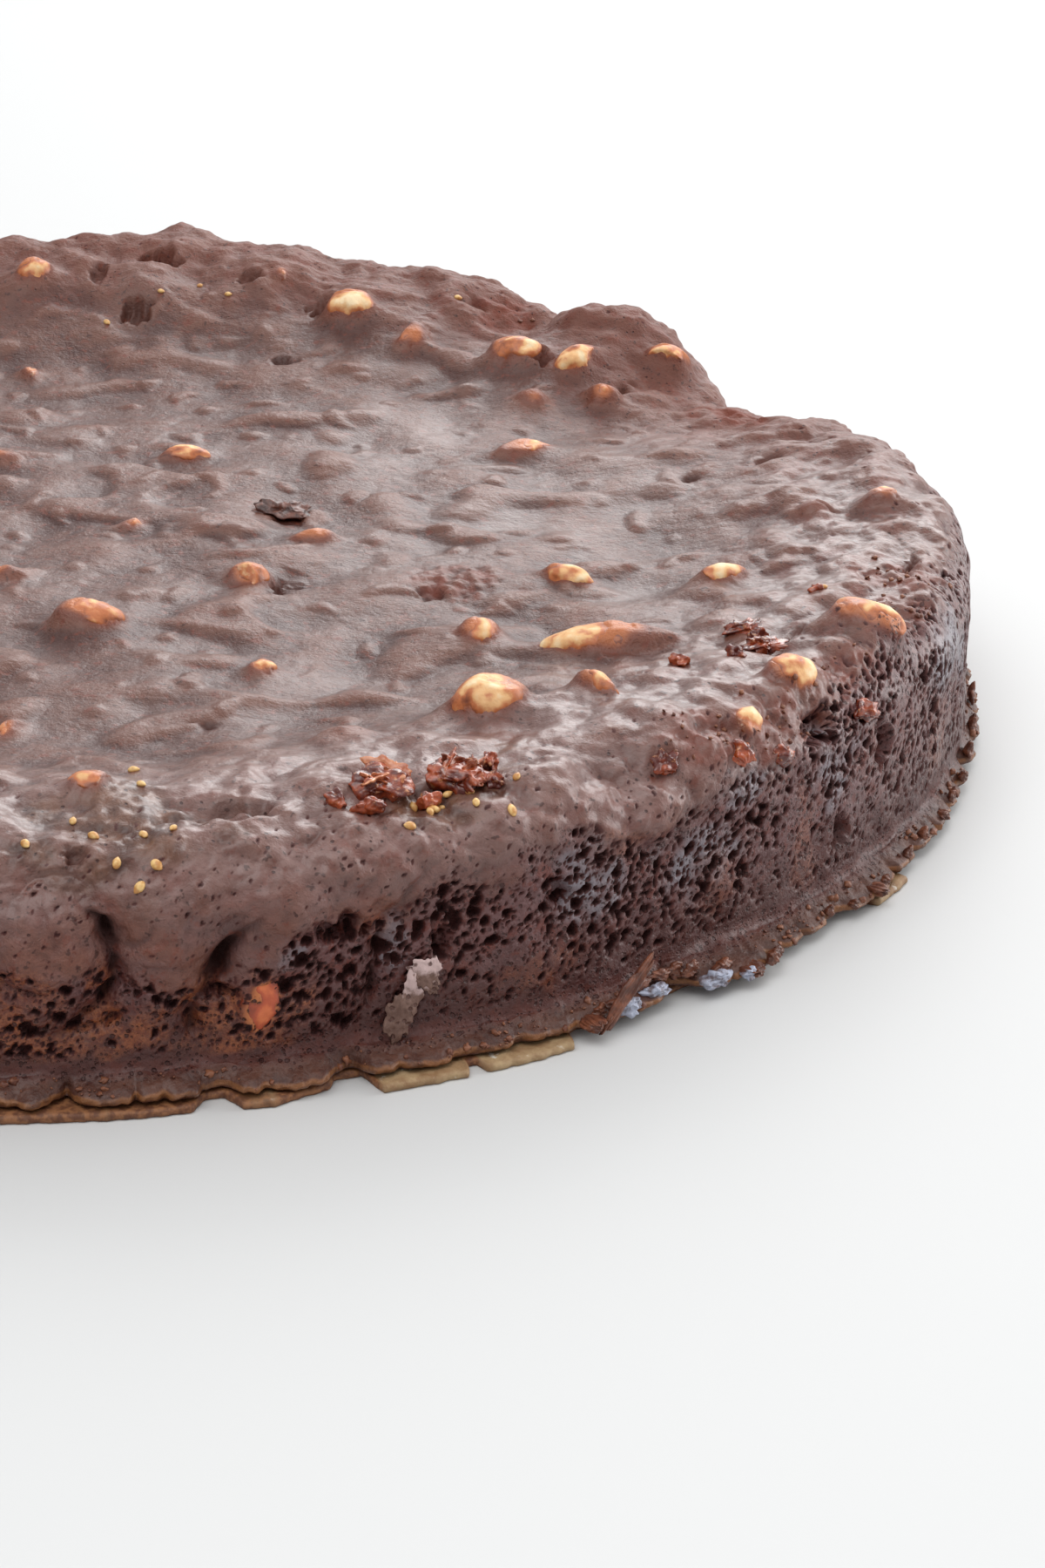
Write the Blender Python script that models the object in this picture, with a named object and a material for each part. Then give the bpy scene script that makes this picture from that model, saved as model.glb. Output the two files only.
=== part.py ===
"""Panforte: a whole round fruit and nut cake, 230 mm across, baked on rice paper.

+Z is up, the rice paper rests on z = 0 and the cake's axis is the Z axis.
Angles run anticlockwise from +X, seen from above. Lengths are metres.
"""

import math

import bmesh
import bpy
import numpy as np
from mathutils import Matrix, Vector

for old in list(bpy.data.objects):
    bpy.data.objects.remove(old, do_unlink=True)

# Driving dimensions of the cake.
WALL_RADIUS = 0.1115
CENTRE_HEIGHT = 0.0190
BOWL_RADIUS = 0.062
SHOULDER_REACH = 0.0085
SHOULDER_DROP = 0.0070
SHOULDER_ARC = 0.0122
WALL_FOOT = 0.0045
LIP_RADIUS = 0.1149
LIP_TOP = 0.0024
UNDERSIDE = 0.0011
AROUND = 96

# Driving dimensions of the rice paper.
PAPER_THICKNESS = 0.0008
PAPER_RADIUS = 0.1141
PAPER_TAB = 0.0021
PAPER_AROUND = 72

# Every separate piece stands this far clear of its neighbours.
CLEARANCE = 0.00034
MM = 0.001

# Height of the rim, in mm, by angle in degrees: it stands high at the back and dips at the right.
RIM_HEIGHTS = (
    (-180, 27.0), (-150, 26.0), (-120, 26.5), (-90, 25.6), (-75, 26.0), (-60, 26.0), (-45, 26.3),
    (-25, 26.0), (-8, 25.6), (3, 25.2), (14, 25.6), (21, 24.0), (28, 21.2), (35, 20.6), (40, 22.6),
    (45, 26.0), (50, 26.4), (54, 23.8), (58, 25.2), (62, 27.6), (75, 28.2), (80, 29.6), (86, 29.4),
    (89, 31.2), (92, 30.4), (104, 29.6), (120, 28.6), (150, 27.6), (180, 27.0),
)


def ease(value):
    """0 to 1 with level ends."""
    value = np.clip(value, 0.0, 1.0)
    return value * value * (3 - 2 * value)


def swell(places, size, seed):
    """Smooth lumps of one size at the given places, about -1 to 1."""
    scaled = places / size
    cell = np.floor(scaled).astype(np.int64)
    part = scaled - cell
    weight = part**3 * (part * (part * 6 - 15) + 10)
    total = np.zeros(len(places))
    for corner in np.ndindex(2, 2, 2):
        at = cell + corner
        mix = at[:, 0] * 374761393 + at[:, 1] * 668265263 + at[:, 2] * 974634777 + seed * 1274126177
        mix = ((mix ^ (mix >> 13)) * 1103515245 + 12345) & 0xFFFFFFFF
        mix = ((mix ^ (mix >> 15)) * 1664525) & 0xFFFFFFFF
        turn = (mix & 0xFFFF) * (2 * math.pi / 65536)
        up = ((mix >> 16) & 0xFFFF) / 32768 - 1
        flat = np.sqrt(np.maximum(0, 1 - up * up))
        away = part - corner
        lean = away[:, 0] * flat * np.cos(turn) + away[:, 1] * flat * np.sin(turn) + away[:, 2] * up
        share = np.where(np.array(corner) == 1, weight, 1 - weight).prod(axis=1)
        total += share * lean
    return total * 1.6


def rim_height(angle):
    """Height of the rim's crest at angles in radians."""
    degrees = (np.degrees(angle) + 180) % 360 - 180
    return np.interp(degrees, [a for a, h in RIM_HEIGHTS], [h * MM for a, h in RIM_HEIGHTS])


def rim_inset(angle):
    """How far the wall stands in from its radius: the cake is pinched where the rim dips."""
    degrees = (np.degrees(angle) + 180) % 360 - 180
    pinch = 0.0035 * np.exp(-(((degrees - 33) / 7) ** 2))
    return pinch - 0.0012 * np.exp(-(((degrees + 10) / 15) ** 2))


def skin(angle, reach):
    """Places on the cake's skin.

    The reach is the distance from the axis over the top, then on round the shoulder and down
    the wall.
    """
    angle = np.asarray(angle, float)
    reach = np.asarray(reach, float)
    rim = rim_height(angle)
    wall = WALL_RADIUS - rim_inset(angle)
    crest = wall - SHOULDER_REACH
    rise = ease((reach - BOWL_RADIUS) / (crest - BOWL_RADIUS))
    bend = np.clip((reach - crest) / SHOULDER_ARC, 0, 1) * (math.pi / 2)
    down = np.maximum(0, reach - crest - SHOULDER_ARC)
    radius = np.minimum(reach, crest) + SHOULDER_REACH * np.sin(bend)
    height = CENTRE_HEIGHT + (rim - CENTRE_HEIGHT) * rise - SHOULDER_DROP * (1 - np.cos(bend)) - down
    places = np.stack([radius * np.cos(angle), radius * np.sin(angle), height], axis=-1)
    flat = places.reshape(-1, 3) * [1, 1, 0.6]
    lumps = 1.1 * swell(flat, 0.026, 1) + 0.65 * swell(flat, 0.011, 2)
    edge = ease((reach - 0.080) / 0.020).reshape(-1)
    lumps = lumps * (1 - 0.25 * edge) + edge * (0.9 * swell(flat, 0.017, 4) + 0.35 * swell(flat, 0.007, 5))
    calm = 1 - 0.62 * ease(down / 0.006).reshape(-1)
    lumps = (lumps * calm * MM).reshape(reach.shape)
    outward = np.stack([np.cos(angle) * np.sin(bend), np.sin(angle) * np.sin(bend), np.cos(bend)], axis=-1)
    return places + outward * lumps[..., None]


def ragged(angle, seed):
    """An uneven, broken edge, about -1 to 1, by angle in radians."""
    ring = np.stack([np.cos(angle), np.sin(angle), np.zeros_like(angle)], axis=-1).reshape(-1, 3)
    value = 0.7 * swell(ring, 0.16, seed) + 0.6 * swell(ring, 0.07, seed + 1)
    return value.reshape(np.shape(angle))


def notch(angle, at, width):
    """1 inside a gap in an edge, falling to 0 beside it, for angles in radians."""
    degrees = (np.degrees(angle) + 180) % 360 - 180
    return np.exp(-(((degrees - at) / width) ** 2))


def lip_radius(angle):
    """Radius of the thin lip that spread out under the tin's wall, with the gaps broken from it."""
    gaps = sum(notch(angle, at, 1.6) for at in (-75, -68.5, -49.5, -14, 62, 118, 171, -138, -102))
    flaps = sum(notch(angle, at, 2.2) for at in (-45, -33, 30, 95, 150, -120))
    return LIP_RADIUS + 0.0007 * ragged(angle, 31) - 0.0021 * gaps + 0.0016 * flaps


# Where the rice paper shows as tabs: from and to, in degrees.
TABS = (
    (-67.2, -62.7), (-61.8, -56.8), (-33.0, -29.5), (42.0, 47.5), (99.0, 104.0), (137.0, 140.5),
    (-159.0, -153.0),
)


def paper_radius(angle):
    """Radius of the rice paper, torn off square at both ends of each tab."""
    degrees = (np.degrees(angle) + 180) % 360 - 180
    tabs = sum(((degrees > start) & (degrees < end)) * 1.0 for start, end in TABS)
    return PAPER_RADIUS + 0.0004 * ragged(angle, 41) + PAPER_TAB * tabs


def paper_angles():
    """Angles round the paper's edge, with two of them astride each end of a tab."""
    angles = np.arange(PAPER_AROUND) * (360 / PAPER_AROUND)
    for end in sorted(end % 360 for tab in TABS for end in tab):
        first = int(np.searchsorted(angles, end)) - 1
        angles[first] = end - 0.25
        angles[(first + 1) % PAPER_AROUND] = end + 0.25
    return np.radians(angles)


def finish(mesh, name, colour, roughness, sheen=0.0):
    """Link a mesh as an object of this name, with a material of its own."""
    obj = bpy.data.objects.new(name, mesh)
    bpy.context.scene.collection.objects.link(obj)
    material = bpy.data.materials.new(name + "_finish")
    material.use_nodes = True
    shader = material.node_tree.nodes["Principled BSDF"]
    shader.inputs["Base Color"].default_value = (*colour, 1)
    shader.inputs["Roughness"].default_value = roughness
    shader.inputs["Coat Weight"].default_value = sheen
    material.diffuse_color = (*colour, 1)
    mesh.materials.append(material)
    mesh.shade_smooth()
    return obj


def close_rings(name, rings):
    """A closed mesh through rings of places, from a lower pole to an upper one.

    Each ring is as long as its neighbour, twice as long or half as long. The first and the last
    hold one place each.
    """
    work = bmesh.new()
    rows = [[work.verts.new(place) for place in ring] for ring in rings]
    for low, high in zip(rows, rows[1:]):
        count = max(len(low), len(high))
        for i in range(count):
            a = low[i * len(low) // count]
            b = low[(i + 1) * len(low) // count % len(low)]
            c = high[(i + 1) * len(high) // count % len(high)]
            d = high[i * len(high) // count]
            corners = [a]
            for corner in (b, c, d):
                if corner not in corners:
                    corners.append(corner)
            if len(corners) > 2:
                work.faces.new(corners)
    bmesh.ops.triangulate(work, faces=work.faces[:])
    bmesh.ops.recalc_face_normals(work, faces=work.faces[:])
    mesh = bpy.data.meshes.new(name)
    work.to_mesh(mesh)
    work.free()
    return mesh


def ring_of(count, place):
    """Places round one ring: place gives them for an array of angles."""
    return place(np.arange(count) * (2 * math.pi / count))


def level(radius, height):
    """A rule for a level ring: radius is a length or a rule by angle."""
    def place(angle):
        wide = radius(angle) if callable(radius) else np.full_like(angle, radius)
        return np.stack([wide * np.cos(angle), wide * np.sin(angle), np.full_like(angle, height)], axis=-1)

    return place


# The cake's own body: a fan of rings under the base, up round the lip and the wall, over the
# rim and in to the middle of the top.
def cake_rings():
    rings = [[(0, 0, UNDERSIDE)]]
    for radius, share in ((0.012, 16), (0.040, 8), (0.075, 4), (0.101, 2)):
        rings.append(ring_of(AROUND // share, level(radius, UNDERSIDE)))
    rings.append(ring_of(AROUND, level(lambda a: lip_radius(a) - 0.0016, UNDERSIDE)))
    rings.append(ring_of(AROUND, level(lip_radius, UNDERSIDE + 0.0003)))
    rings.append(ring_of(AROUND, level(lambda a: lip_radius(a) - 0.0005, LIP_TOP - 0.0001)))

    def foot(angle):
        places = skin(angle, foot_reach(angle))
        return places * [0.989, 0.989, 0] + np.array([0, 0, LIP_TOP + 0.0007])

    rings.append(ring_of(AROUND, foot))
    for share in (1.0, 0.66, 0.33, 0.0):
        rings.append(
            ring_of(AROUND, lambda a, s=share: skin(a, crest_reach(a) + SHOULDER_ARC + s * wall_length(a)))
        )
    for share in (0.74, 0.48, 0.22):
        rings.append(ring_of(AROUND, lambda a, s=share: skin(a, crest_reach(a) + s * SHOULDER_ARC)))
    tops = [(101.0, 1), (97.0, 1), (92.0, 1), (86.5, 1), (80.5, 1), (74.0, 1), (67.0, 1), (60.0, 1)]
    tops += [(53.0, 2), (46.0, 2), (38.5, 2), (31.0, 2), (24.0, 4), (17.0, 4), (11.0, 8), (5.5, 16)]
    for radius, share in tops:
        rings.append(
            ring_of(AROUND // share, lambda a, r=radius: skin(a, np.minimum(r * MM, crest_reach(a) * r / 102)))
        )
    rings.append([skin(0.0, 0.0)])
    return rings


def crest_reach(angle):
    """Reach of the rim's crest."""
    return WALL_RADIUS - SHOULDER_REACH - rim_inset(angle)


def wall_length(angle):
    """Length of the upright wall, from the shoulder to its foot."""
    return rim_height(angle) - SHOULDER_DROP - WALL_FOOT


def foot_reach(angle):
    """Reach of the wall's foot."""
    return crest_reach(angle) + SHOULDER_ARC + wall_length(angle)


def seat(angle, reach):
    """A frame on the skin: its place, the outward direction and the direction down the profile."""
    step = 0.0015
    here = skin(angle, reach)
    along = skin(angle, reach + step) - skin(angle, reach - step)
    turn = step / max(0.02, math.hypot(here[0], here[1]))
    across = skin(angle + turn, reach) - skin(angle - turn, reach)
    out = Vector(np.cross(along, across)).normalized()
    return Vector(here), out, Vector(along).normalized()


def body(name, half, seed, grow=0.0, around=7, rows=4, cuts=(), taper=0.0, rough=0.1):
    """A rounded, slightly uneven body with half-lengths half, and flat broken faces.

    Each cut is a direction and the share of the half-length that it leaves. It grows evenly when
    a socket is wanted.
    """
    size = np.array(half)
    places = []
    for row in range(rows + 1):
        polar = math.pi * (row + 1) / (rows + 1) if row < rows else 0
        if row == rows:
            continue
        for spoke in range(around):
            turn = 2 * math.pi * (spoke + 0.5 * (row % 2)) / around
            places.append((math.cos(turn) * math.sin(polar), math.sin(turn) * math.sin(polar), math.cos(polar)))
    places = np.array([(0, 0, 1)] + places + [(0, 0, -1)], float)
    spread = 1 + rough * swell(places * 1.3 + 7.3 * seed, 0.9, seed)
    shape = places * spread[:, None]
    narrow = 1 - taper * np.clip(shape[:, 0], 0, 1) ** 1.5
    shape[:, 1] *= narrow
    shape[:, 2] *= narrow
    for direction, share in cuts:
        normal = np.array(direction, float)
        normal /= np.linalg.norm(normal)
        over = np.maximum(0, shape @ normal - share)
        shape -= over[:, None] * normal
    work = bmesh.new()
    verts = [work.verts.new(place) for place in shape * size]
    for row in range(rows):
        ring = verts[1 + row * around : 1 + (row + 1) * around]
        if row == 0:
            for i in range(around):
                work.faces.new((verts[0], ring[i], ring[(i + 1) % around]))
        else:
            last = verts[1 + (row - 1) * around : 1 + row * around]
            lean = row % 2
            for i in range(around):
                j = (i + 1) % around
                if lean:
                    work.faces.new((last[i], ring[i], last[j]))
                    work.faces.new((ring[i], ring[j], last[j]))
                else:
                    work.faces.new((last[i], ring[i], ring[j]))
                    work.faces.new((last[i], ring[j], last[j]))
        if row == rows - 1:
            for i in range(around):
                work.faces.new((ring[i], verts[-1], ring[(i + 1) % around]))
    bmesh.ops.recalc_face_normals(work, faces=work.faces[:])
    work.normal_update()
    moves = [vert.normal * grow for vert in work.verts]
    for vert, move in zip(work.verts, moves):
        vert.co += move
    mesh = bpy.data.meshes.new(name)
    work.to_mesh(mesh)
    work.free()
    return mesh


def stand(mesh, angle, reach, yaw, lift, tip=0.0):
    """Set a body on the skin: its X axis lies at yaw from the direction down the profile."""
    here, out, along = seat(angle, reach)
    side = out.cross(along)
    frame = Matrix((along, side, out)).transposed().to_4x4()
    frame.translation = here + out * lift
    mesh.transform(frame @ Matrix.Rotation(yaw, 4, "Z") @ Matrix.Rotation(tip, 4, "Y"))
    return mesh


# Pieces of nut: name, angle in degrees and reach in mm of the place on the skin, half-lengths in
# mm, yaw of the long side in degrees from +X seen from above, and how far the middle stands above
# the skin as a share of the half-thickness.
NUTS = (
    ("nut_back_1", 101.5, 90.0, 3.3, 2.5, 2.1, 50, 0.25),
    ("nut_back_2", 69.5, 86.0, 3.7, 3.0, 2.6, 10, 0.30),
    ("nut_back_3", 61.5, 83.0, 3.6, 2.6, 2.3, 80, -0.05),
    ("nut_back_4", 50.0, 85.5, 4.2, 2.8, 2.4, -18, 0.35),
    ("nut_back_5", 44.5, 89.5, 4.0, 2.4, 2.3, 40, 0.25),
    ("nut_back_6", 41.0, 102.0, 3.3, 2.3, 2.0, -5, 0.25),
    ("nut_back_7", 42.5, 78.0, 2.8, 2.5, 1.9, 0, -0.10),
    ("nut_back_8", 39.0, 87.0, 2.7, 2.5, 2.3, 0, 0.15),
    ("nut_mid_1", 70.0, 32.0, 4.0, 1.9, 1.4, 8, 0.20),
    ("nut_mid_2", 31.0, 66.0, 4.3, 2.0, 1.5, 30, 0.25),
    ("nut_mid_3", 116.5, 28.5, 2.7, 1.8, 1.3, -20, 0.05),
    ("nut_mid_4", -3.5, 31.0, 3.3, 1.9, 1.5, 5, 0.00),
    ("nut_mid_5", -36.0, 29.5, 2.5, 2.4, 1.9, 0, 0.25),
    ("nut_mid_6", -79.0, 36.0, 4.6, 3.0, 2.3, 14, 0.30),
    ("nut_mid_7", -104.0, 20.5, 3.0, 1.9, 1.4, -8, 0.10),
    ("nut_right_1", -14.5, 64.5, 3.2, 2.1, 1.6, -28, 0.40),
    ("nut_right_2", -15.0, 83.5, 3.4, 2.0, 1.7, 32, 0.40),
    ("nut_right_3", -35.0, 63.5, 2.9, 2.6, 2.2, 45, 0.30),
    ("nut_right_4", -32.0, 79.5, 8.0, 3.7, 2.6, -6, 0.10),
    ("nut_right_5", -51.0, 86.0, 4.2, 3.8, 3.0, 0, 0.35),
    ("nut_right_6", -44.5, 91.5, 3.5, 1.4, 2.2, -50, 0.15),
    ("nut_front_1", -80.5, 95.5, 2.6, 2.2, 1.8, 0, 0.10),
    ("nut_rim_1", -25.0, 105.5, 4.9, 3.2, 2.8, -25, 0.20),
    ("nut_rim_2", -35.5, 105.0, 3.5, 2.7, 2.3, 30, 0.20),
    ("nut_rim_3", -1.0, 101.5, 2.6, 2.0, 1.8, 30, 0.20),
    ("nut_rim_4", -0.5, 93.0, 2.7, 1.9, 1.5, 0, -0.10),
    ("nut_west_1", -127.0, 51.5, 4.6, 2.8, 2.3, 60, 0.20),
    ("nut_west_2", -128.0, 84.0, 3.4, 3.0, 2.4, 20, 0.25),
    ("nut_west_3", 169.5, 44.5, 3.2, 2.1, 1.6, -40, 0.25),
    ("nut_west_4", -163.0, 74.5, 6.8, 3.4, 2.5, 75, 0.10),
    ("nut_west_5", 158.5, 71.0, 3.6, 2.4, 2.0, 15, 0.25),
    ("nut_west_6", 126.5, 61.0, 3.9, 2.3, 1.7, -15, 0.20),
    ("nut_west_7", 176.5, 88.0, 3.0, 2.6, 2.1, 0, 0.20),
    ("nut_west_8", 133.0, 91.5, 3.7, 2.7, 2.3, 35, 0.25),
    ("nut_west_9", -106.5, 83.5, 3.3, 2.2, 1.8, -30, 0.20),
    ("nut_west_10", -154.0, 100.0, 4.0, 2.8, 2.3, -60, 0.15),
    ("nut_west_11", 156.5, 100.5, 3.4, 2.5, 2.2, 70, 0.15),
    ("nut_west_12", 119.0, 100.5, 3.2, 2.3, 2.0, 10, 0.15),
    ("nut_west_13", -158.0, 24.0, 2.8, 1.9, 1.4, 25, 0.10),
    ("nut_west_14", -140.0, 102.0, 3.0, 2.2, 1.9, -20, 0.10),
)

# Pieces that show in the wall: name, angle in degrees, height in mm, half-lengths, yaw of the
# long side in degrees from the way down the wall, lift.
WALL_NUTS = (
    ("nut_wall_1", -72.8, 9.0, 2.9, 2.2, 1.8, 25, -0.10),
    ("nut_wall_2", 166.0, 12.0, 3.2, 2.3, 1.9, -60, -0.10),
    ("nut_wall_3", 52.0, 10.5, 2.8, 2.1, 1.7, 40, -0.10),
)

# Pieces of fruit: name, angle, reach, half-lengths, yaw, lift.
FRUIT = (
    ("fruit_torn", 18.0, 27.0, 3.8, 2.3, 1.7, 5, 0.30),
    ("fig_flesh_1", -64.5, 102.0, 2.9, 2.6, 2.6, 30, 0.35),
    ("fig_flesh_2", -60.0, 102.5, 3.2, 2.5, 2.4, -20, 0.35),
    ("fruit_jelly_1", -32.0, 98.5, 2.3, 1.8, 1.4, 35, 0.30),
    ("fruit_jelly_2", -29.0, 93.5, 1.9, 1.5, 1.2, 0, 0.25),
    ("fruit_west_1", -148.5, 86.5, 3.2, 2.4, 1.7, 15, 0.30),
    ("fig_flesh_3", 129.0, 101.5, 3.0, 2.6, 2.4, 50, 0.30),
)


def kernel(name, row, grow):
    """The body of one piece of nut, broken across in one or two flat faces."""
    number = sum(ord(letter) for letter in row[0]) % 97
    half = [length * MM for length in row[3:6]]
    chance = np.random.RandomState(number)
    cuts = []
    for _ in range(chance.randint(1, 3)):
        cuts.append((chance.normal(size=3) * [1, 1, 0.7], chance.uniform(0.5, 0.8)))
    taper = 0.45 if half[0] > 1.6 * half[1] else 0.12
    return body(name, half, number, grow, cuts=cuts, taper=taper)


def morsel(name, row, grow):
    """The body of one piece of fruit: torn and more uneven than a nut."""
    number = sum(ord(letter) for letter in row[0]) % 89
    half = [length * MM for length in row[3:6]]
    return body(name, half, number, grow, around=8, rows=4, rough=0.45)


def on_top(make, row, grow, suffix=""):
    angle = math.radians(row[1])
    mesh = make(row[0] + suffix, row, grow)
    return stand(mesh, angle, row[2] * MM, math.radians(row[6]) - angle, row[7] * row[5] * MM)


def on_wall(make, row, grow, suffix=""):
    angle = math.radians(row[1])
    reach = float(foot_reach(angle)) - (row[2] * MM - WALL_FOOT)
    mesh = make(row[0] + suffix, row, grow)
    return stand(mesh, angle, reach, math.radians(row[6]), row[7] * row[5] * MM)


# The sheet of rice paper under the cake.
def paper_rings():
    rings = [[(0, 0, 0)]]
    for radius, share in ((0.015, 12), (0.060, 4), (0.100, 2)):
        rings.append(ring_of(PAPER_AROUND // share, level(radius, 0)))
    rings.append(level(lambda a: paper_radius(a) - 0.0001, 0)(paper_angles()))
    rings.append(level(lambda a: paper_radius(a) - 0.0002, PAPER_THICKNESS)(paper_angles()))
    for radius, share in ((0.100, 2), (0.060, 4), (0.015, 12)):
        rings.append(ring_of(PAPER_AROUND // share, level(radius, PAPER_THICKNESS)))
    rings.append([(0, 0, PAPER_THICKNESS)])
    return rings


finish(close_rings("wafer_base", paper_rings()), "wafer_base", (0.62, 0.46, 0.26), 0.7)
cake = finish(close_rings("cake", cake_rings()), "cake", (0.16, 0.062, 0.042), 0.45, 0.2)

# The nuts and the fruit, and the sockets that they lie in.
sockets = bpy.data.collections.new("sockets")
bpy.context.scene.collection.children.link(sockets)


def cutter(mesh):
    """Keep a mesh as a cutter of the cake."""
    obj = bpy.data.objects.new("cut_" + mesh.name, mesh)
    sockets.objects.link(obj)
    obj.hide_render = True
    obj.display_type = "WIRE"


for rows, make, place in ((NUTS, kernel, on_top), (WALL_NUTS, kernel, on_wall), (FRUIT, morsel, on_top)):
    for row in rows:
        if make is kernel:
            colour, roughness = (0.80, 0.52, 0.27), 0.5
        else:
            colour, roughness = (0.23, 0.055, 0.025), 0.3
        finish(place(make, row, 0.0), row[0], colour, roughness)
        cutter(place(make, row, CLEARANCE, "_socket"))

# Holes in the skin: angle in degrees, reach in mm, half-lengths, yaw from +X, depth of the middle.
HOLES = (
    (90.0, 94.5, 2.2, 1.6, 2.2, 0, 0.2),
    (91.5, 80.5, 1.9, 1.5, 2.0, 0, 0.2),
    (81.0, 90.5, 1.5, 1.4, 1.8, 0, 0.2),
    (47.5, 85.0, 1.6, 1.4, 2.0, 0, 0.2),
    (-74.0, 101.5, 3.8, 2.6, 1.6, 15, 0.2),
    (-24.5, 50.5, 2.0, 1.5, 1.4, 20, 0.2),
    (73.0, 72.0, 1.8, 1.2, 1.2, -30, 0.2),
    (14.0, 91.0, 1.8, 1.0, 1.3, 0, 0.2),
    (39.5, 92.0, 1.7, 0.8, 1.4, -50, 0.2),
    (-148.0, 68.0, 1.8, 1.4, 1.6, 40, 0.2),
    (145.5, 102.0, 2.0, 1.6, 2.0, 0, 0.2),
)
# Folds in the wall: angle in degrees, height in mm, half-lengths, lean from upright in degrees.
FOLDS = (
    (-80.1, 15.0, 4.0, 1.1, 1.7, 6),
    (-74.4, 14.0, 4.4, 1.3, 1.9, -22),
    (-76.0, 7.6, 2.8, 0.9, 1.4, 0),
    (-66.7, 8.4, 4.6, 0.9, 1.4, -6),
    (-69.2, 14.4, 1.6, 0.9, 1.3, 90),
    (-35.1, 21.9, 2.2, 1.3, 1.6, 50),
    (-29.1, 15.1, 1.9, 1.2, 1.4, 0),
    (-150.0, 14.0, 3.9, 1.1, 1.7, 15),
    (-112.0, 13.0, 3.4, 1.1, 1.6, -15),
    (128.0, 13.0, 3.8, 1.1, 1.7, 10),
    (80.0, 14.0, 3.6, 1.1, 1.6, -12),
    (10.0, 12.0, 3.4, 1.0, 1.5, 10),
)
for number, (degrees, reach, long, wide, deep, yaw, sunk) in enumerate(HOLES):
    angle = math.radians(degrees)
    mesh = body(f"hole_{number}", (long * MM, wide * MM, deep * MM), 60 + number, around=6, rows=2)
    cutter(stand(mesh, angle, reach * MM, math.radians(yaw) - angle, -sunk * deep * MM))
for number, (degrees, height, long, wide, deep, lean) in enumerate(FOLDS):
    angle = math.radians(degrees)
    reach = float(foot_reach(angle)) - (height * MM - WALL_FOOT)
    mesh = body(f"fold_{number}", (long * MM, wide * MM, deep * MM), 80 + number, around=6, rows=2)
    cutter(stand(mesh, angle, reach, math.radians(lean), 0.0))

cut = cake.modifiers.new("sockets", "BOOLEAN")
cut.operation = "DIFFERENCE"
cut.operand_type = "COLLECTION"
cut.collection = sockets
cut.solver = "EXACT"

# Small toppings fused to the cake: fig seeds, and bits of nut and fruit too small to be pieces
# of their own. Each is an angle in degrees and a reach in mm; a bit has its half-lengths too.
SEEDS = (
    (-77.5, 95.0), (-76.5, 105.5), (-78.0, 105.0), (-80.5, 104.5), (-84.0, 106.0), (-79.5, 108.5),
    (-81.5, 102.0), (-77.5, 86.5), (-77.5, 109.5), (-78.5, 111.5), (-62.5, 106.5), (-57.5, 105.5),
    (-59.0, 109.0), (-64.5, 108.5), (-60.5, 107.5), (82.5, 86.0), (89.0, 84.0), (85.5, 88.5),
    (94.5, 78.0), (61.5, 96.5), (-19.5, 97.5), (126.0, 104.5), (132.0, 104.0), (129.5, 97.5),
    (-152.0, 80.0), (-144.5, 84.0), (-148.5, 93.5), (108.5, 95.0), (-111.0, 100.0), (-115.5, 99.5),
)
BITS = (
    (103.5, 65.5, 1.8, 1.2), (10.0, 7.5, 2.1, 1.2), (-59.5, 55.5, 1.8, 1.4), (-87.5, 66.0, 2.3, 1.2),
    (78.5, 92.5, 2.0, 1.6), (-62.0, 83.5, 2.2, 1.9), (-42.0, 108.0, 2.0, 1.7), (-50.0, 113.0, 2.0, 1.8),
    (-43.5, 110.5, 1.6, 1.5), (-40.5, 112.5, 1.6, 1.4), (-48.5, 108.5, 1.6, 1.4),
    (-149.0, 58.5, 1.9, 1.4), (140.0, 39.0, 2.0, 1.3), (-100.0, 57.0, 1.8, 1.4),
    (165.0, 86.0, 1.9, 1.5),
)
# Crumbs and flakes at the lip and on the wall: angle, radius and height in mm, half-lengths
# outward, along and up in mm, lean in degrees.
FLAKES = (
    (-52.6, 114.2, 4.4, 0.7, 2.1, 2.9, 25),
    (-55.2, 115.0, 2.3, 1.6, 1.4, 0.8, 0),
    (-64.7, 111.6, 8.6, 0.9, 2.1, 2.7, 15),
    (-33.0, 115.4, 2.4, 1.5, 1.3, 0.8, 0),
    (-22.0, 114.4, 2.6, 1.2, 1.8, 0.9, 0),
    (-16.5, 114.0, 2.8, 1.0, 1.4, 1.1, 10),
    (-9.0, 113.6, 3.4, 0.9, 1.6, 1.4, 0),
    (-45.4, 116.0, 2.2, 1.3, 1.9, 0.7, 0),
    (-36.6, 112.0, 21.3, 1.1, 1.7, 3.2, -10),
    (20.0, 114.2, 2.6, 1.3, 1.4, 0.9, 0),
    (104.0, 114.4, 2.6, 1.3, 1.6, 0.9, 0),
    (-170.0, 114.2, 2.6, 1.3, 1.7, 0.9, 0),
    (-128.0, 111.7, 9.0, 0.9, 1.9, 2.5, 15),
)
toppings = bpy.data.collections.new("toppings")
bpy.context.scene.collection.children.link(toppings)


def fused(mesh):
    """Keep a mesh to be joined to the cake."""
    toppings.objects.link(bpy.data.objects.new(mesh.name, mesh))


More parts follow.
